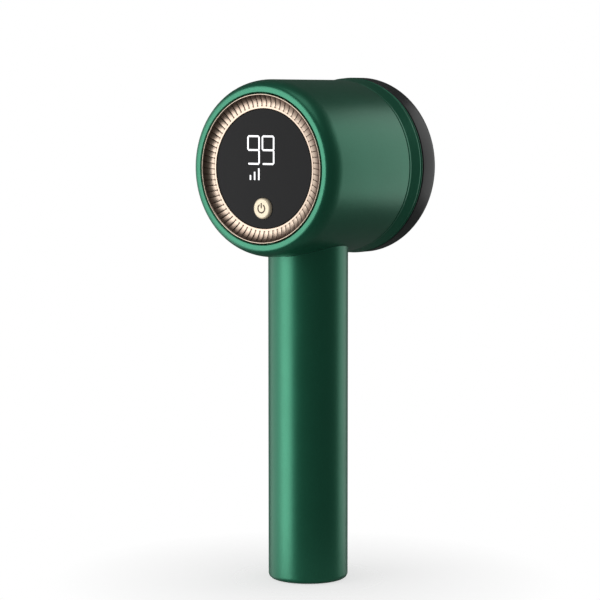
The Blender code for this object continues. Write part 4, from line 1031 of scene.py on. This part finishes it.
# %% Button and its mark
def button_cap():
    face, back = BUTTON_FACE, BUTTON_HIGH.y
    dome = []
    for i in range(9):
        r = (BUTTON_RADIUS - BUTTON_EDGE) * (1 - i / 8)
        dome.append((r, face + 0.12 * MM * (r / BUTTON_RADIUS) ** 2, 0))
    edge = []
    for i in range(9):
        t = math.pi / 2 * i / 8
        radius = BUTTON_RADIUS - BUTTON_EDGE * (1 - math.cos(t))
        edge.append((radius, face + 0.1 * MM + BUTTON_EDGE * (1 - math.sin(t)), 0))
    corners = [
        (0.0, back, 0),
        (5.25 * MM, back, 0),
        (5.25 * MM, back - 0.8 * MM, 0),
        (BUTTON_RADIUS, back - 0.8 * MM, 0),
        *edge,
        *dome[1:],
    ]
    verts, faces = swept(rounded(corners), button_point, 96, closed=False)
    return mesh_object("button_cap", verts, faces, CREAM)


def ribbon(points, half, low, high):
    """A flat band of even width along points in x and z about the button, with round ends."""
    left, right = [], []
    for i, point in enumerate(points):
        ahead = points[min(i + 1, len(points) - 1)] - points[max(i - 1, 0)]
        across = Vector((-ahead.y, ahead.x)).normalized() * half
        left.append(point + across)
        right.append(point - across)
    outline = left + end_cap(points[-1], left[-1]) + right[::-1] + end_cap(points[0], right[0])
    rise = BUTTON.z - AXIS_Z
    return prism([(BUTTON.x + p.x, rise + p.y) for p in outline], low, high)


def end_cap(centre, start):
    """Points of a half circle that closes a band's end, clockwise from start."""
    arm = start - centre
    return [centre + Matrix.Rotation(-math.pi * k / 6, 2) @ arm for k in range(1, 6)]


def power_mark():
    low, high = BUTTON_FACE - 0.02 * MM, BUTTON_FACE + 0.3 * MM
    ring = []
    for i in range(33):
        angle = math.radians(90 + 38 + (360 - 76) * i / 32)
        ring.append(Vector((math.cos(angle), math.sin(angle))) * 1.75 * MM)
    stroke = [Vector((0, 2.1 * MM)), Vector((0, 1.2 * MM)), Vector((0, 0.35 * MM))]
    parts = [ribbon(ring, 0.31 * MM, low, high), ribbon(stroke, 0.31 * MM, low, high)]
    return joined("power_mark", parts, BROWN)


stands_for(button_cap(), "button", "cream_gold", "power_button")
mark = power_mark()
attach(mark, "button")

# %% [markdown]
# ## The foot
#
# An inset black cap closes the handle, with the charging socket let into it off centre. A socket
# of this kind is a flat oval steel shell around a thin tongue.

# %% Foot cap and socket
CAP_LOW, CAP_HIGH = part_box("handle_end_cap")
PORT_LOW, PORT_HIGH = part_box("charging_socket")
PORT = (PORT_LOW + PORT_HIGH) / 2


def oval(width, height, steps=12):
    """A flat oval about the socket's middle, in x and y."""
    radius = height / 2
    reach = width / 2 - radius
    points = []
    for side, first in ((1, -90), (-1, 90)):
        for i in range(steps + 1):
            angle = math.radians(first + 180 * i / steps)
            points.append(
                (PORT.x + side * reach + radius * math.cos(angle), PORT.y + radius * math.sin(angle))
            )
    return points


def upright(points, low, high):
    """A flat outline in x and y as a solid from low to high."""
    count = len(points)
    verts = [(x, y, z) for z in (low, high) for x, y in points]
    faces = [tuple(range(count)), tuple(range(2 * count - 1, count - 1, -1))]
    for i in range(count):
        k = (i + 1) % count
        faces.append((i, k, count + k, count + i))
    return verts, faces


def foot_cap():
    corners = [
        (0.0, CAP_HIGH.z, 0),
        (14.75 * MM, CAP_HIGH.z, 0),
        (14.75 * MM, 2.7 * MM, 0.2 * MM),
        (14.0 * MM, 2.7 * MM, 0),
        (14.0 * MM, 0.0, 0.2 * MM),
        (0.0, 0.0, 0),
    ]
    verts, faces = swept(rounded(corners), grip_point, 128, closed=False)
    cap = mesh_object("foot_cap", verts, faces, BLACK)
    width, height = PORT_HIGH.x - PORT_LOW.x + 0.6 * MM, PORT_HIGH.y - PORT_LOW.y + 0.6 * MM
    cutter = joined("port_hole", [upright(oval(width, height), -MM, CAP_HIGH.z + MM)], BLACK)
    return carved(cap, cutter)


def port_shell():
    width, height = PORT_HIGH.x - PORT_LOW.x, PORT_HIGH.y - PORT_LOW.y
    shell = joined("port_shell", [upright(oval(width, height), PORT_LOW.z, PORT_HIGH.z)], STEEL)
    inside = upright(oval(width - 0.7 * MM, height - 0.7 * MM), PORT_LOW.z - MM, PORT_HIGH.z - MM)
    return carved(shell, joined("port_inside", [inside], STEEL))


stands_for(foot_cap(), "casing", "black_plastic", "handle_end_cap")
stands_for(port_shell(), "casing", "steel", "charging_socket")

# %% [markdown]
# ## What stays as packed
#
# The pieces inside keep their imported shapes. Each gets the finish of what it is made of.

# %% Finishes for the inner pieces
INNER = {
    "black_plastic": BLACK,
    "white_plastic": WHITE,
    "steel": STEEL,
    "sintered_brass": metal("sintered_brass", (0.72, 0.55, 0.28), 0.35),
    "copper": metal("copper", (0.80, 0.42, 0.27), 0.3, stretch=(1, 4, 1)),
    "ferrite": moulded("ferrite", (0.07, 0.07, 0.075), 0.6, 900, 0.00004),
    "laminate": circuit_laminate(),
    "felt": felt(),
    "cell_can": moulded("cell_film", (0.05, 0.17, 0.42), 0.3, 700, 0.00001),
    "red_insulation": moulded("red_insulation", (0.50, 0.03, 0.02), 0.4, 1600),
    "black_insulation": moulded("black_insulation", (0.03, 0.03, 0.03), 0.4, 1600),
    "white_insulation": moulded("white_insulation", (0.76, 0.76, 0.74), 0.4, 1600),
}
for entry in frame["record"]["subparts"]:
    node = frame["nodes"][entry["node"]]
    if node.hide_render:
        continue
    finish = INNER[entry["material_slot"]]
    node.data.materials.clear()
    node.data.materials.append(finish)
print("kept as packed:", sum(not n.hide_render for n in frame["nodes"].values()))

# %% [markdown]
# ## The studio
#
# One tall soft box stands in front on the left and one behind on the right, and a dark room lies
# between their reflections. That gives round green metal its two bright bands and the dark band
# between. Dark cards stand for the room: only reflections see them, so they neither show nor
# shade anything. The backdrop is white for the eye and for reflections, and dimmer as light.

# %% Camera
CAMERA_TURN = math.radians(36.52)
camera_data = bpy.data.cameras.new("camera")
camera_data.lens = 140.57
camera_data.sensor_width = 36
camera_data.shift_x = -0.01355
camera_data.clip_start = 0.01
camera = bpy.data.objects.new("camera", camera_data)
bpy.context.scene.collection.objects.link(camera)
camera.location = (0.99849 * math.sin(CAMERA_TURN), -0.99849 * math.cos(CAMERA_TURN), 0.20585)
camera.rotation_euler = (math.radians(85.09), 0, CAMERA_TURN)
bpy.context.scene.camera = camera
bpy.context.scene.view_settings.view_transform = "Standard"


# %% Lamps
def soft_box(name, turn, rise, distance, width, height, watts):
    """An area lamp at a compass turn and a height, facing the object."""
    data = bpy.data.lights.new(name, "AREA")
    data.shape = "RECTANGLE"
    data.size, data.size_y = width, height
    data.energy = watts
    lamp = bpy.data.objects.new(name, data)
    angle = math.radians(turn)
    lamp.location = (distance * math.sin(angle), -distance * math.cos(angle), rise)
    aim = Vector((0, 0, 0.13)) - lamp.location
    lamp.rotation_euler = aim.to_track_quat("-Z", "Y").to_euler()
    bpy.context.scene.collection.objects.link(lamp)
    return lamp


soft_box("left_soft_box", -30, 0.22, 0.95, 0.62, 1.3, 5.2)
soft_box("right_soft_box", 156, 0.27, 0.95, 0.78, 1.12, 2.5)
soft_box("top_soft_box", 40, 1.3, 0.35, 0.8, 0.8, 1.8).data.specular_factor = 0


# %% Dark cards, floor and backdrop
ROOM_RADIUS = 1.8
CARD_STEPS = 24


def dark_card(name, verts, faces):
    """A dark sheet of the room, seen by reflections only."""
    mesh = bpy.data.meshes.new(name)
    mesh.from_pydata(verts, [], faces)
    material = bpy.data.materials.new(name)
    material.use_nodes = True
    material.node_tree.nodes.clear()
    tree = Nodes(material.node_tree)
    glow = tree.node("Emission", None, {"Color": (0.07, 0.08, 0.075, 1)})
    tree.node("OutputMaterial", None, {0: glow.outputs[0]})
    mesh.materials.append(material)
    obj = bpy.data.objects.new(name, mesh)
    bpy.context.scene.collection.objects.link(obj)
    obj.visible_camera = False
    obj.visible_diffuse = False
    obj.visible_shadow = False
    obj.visible_transmission = False


def dark_wall(name, first, last, low, high):
    """A curved card between two compass turns and two heights."""
    verts = []
    for i in range(CARD_STEPS + 1):
        angle = math.radians(first + (last - first) * i / CARD_STEPS)
        for z in (low, high):
            verts.append((ROOM_RADIUS * math.sin(angle), -ROOM_RADIUS * math.cos(angle), z))
    dark_card(name, verts, [(2 * i, 2 * i + 1, 2 * i + 3, 2 * i + 2) for i in range(CARD_STEPS)])


def dark_lid(name, height):
    """A flat card overhead or below, which closes the room."""
    verts = [(x, y, height) for x, y in circle(ROOM_RADIUS, CARD_STEPS)]
    dark_card(name, verts, [tuple(range(CARD_STEPS))])


dark_wall("dark_room", -13, 118, -1.2, 1.6)
dark_wall("dark_rear", 118, 258, -1.2, 1.6)
dark_wall("dark_left_high", 258, 347, 0.9, 1.6)
dark_lid("dark_ceiling", 1.6)
dark_lid("dark_ground", -1.2)


def floor_material():
    """Pale, and clear away from the object, so that it fades into the backdrop."""
    finish = Finish("pale_floor")
    far = finish.node("VectorMath", {"operation": "LENGTH"}, {0: finish.place}).outputs["Value"]
    near = 1 - finish.masked(Value(finish, far), 0.02, 0.11)
    finish.set(
        Base_Color=finish.blend(finish.noise(40, 3), (0.86, 0.86, 0.86), (0.88, 0.88, 0.88)),
        Roughness=finish.noise(60, 2) * 0.1 + 0.85,
        Specular_IOR_Level=0.0,
        Alpha=near * 0.32,
        Normal=finish.relief(finish.noise(900, 3), 0.00004, 0.2),
    )
    return finish.material


def floor():
    verts = [(x, y, -0.0002) for x, y in circle(0.26, 96)]
    mesh = bpy.data.meshes.new("floor")
    mesh.from_pydata(verts, [], [tuple(range(96))])
    mesh.materials.append(floor_material())
    obj = bpy.data.objects.new("floor", mesh)
    bpy.context.scene.collection.objects.link(obj)
    return obj


def backdrop():
    world = bpy.data.worlds.new("backdrop")
    bpy.context.scene.world = world
    world.use_nodes = True
    world.node_tree.nodes.clear()
    tree = Nodes(world.node_tree)
    rays = tree.node("LightPath")
    seen = rays.outputs["Is Camera Ray"]
    for kind in ("Is Glossy Ray", "Is Transmission Ray"):
        seen = tree.node("Math", {"operation": "MAXIMUM"}, {0: seen, 1: rays.outputs[kind]}).outputs[0]
    dim = tree.node("Background", None, {"Color": (0.35, 0.35, 0.35, 1)})
    white = tree.node("Background", None, {"Color": (1, 1, 1, 1)})
    mixed = tree.node("MixShader", None, {0: seen, 1: dim.outputs[0], 2: white.outputs[0]})
    tree.node("OutputWorld", None, {0: mixed.outputs[0]})


floor()
backdrop()
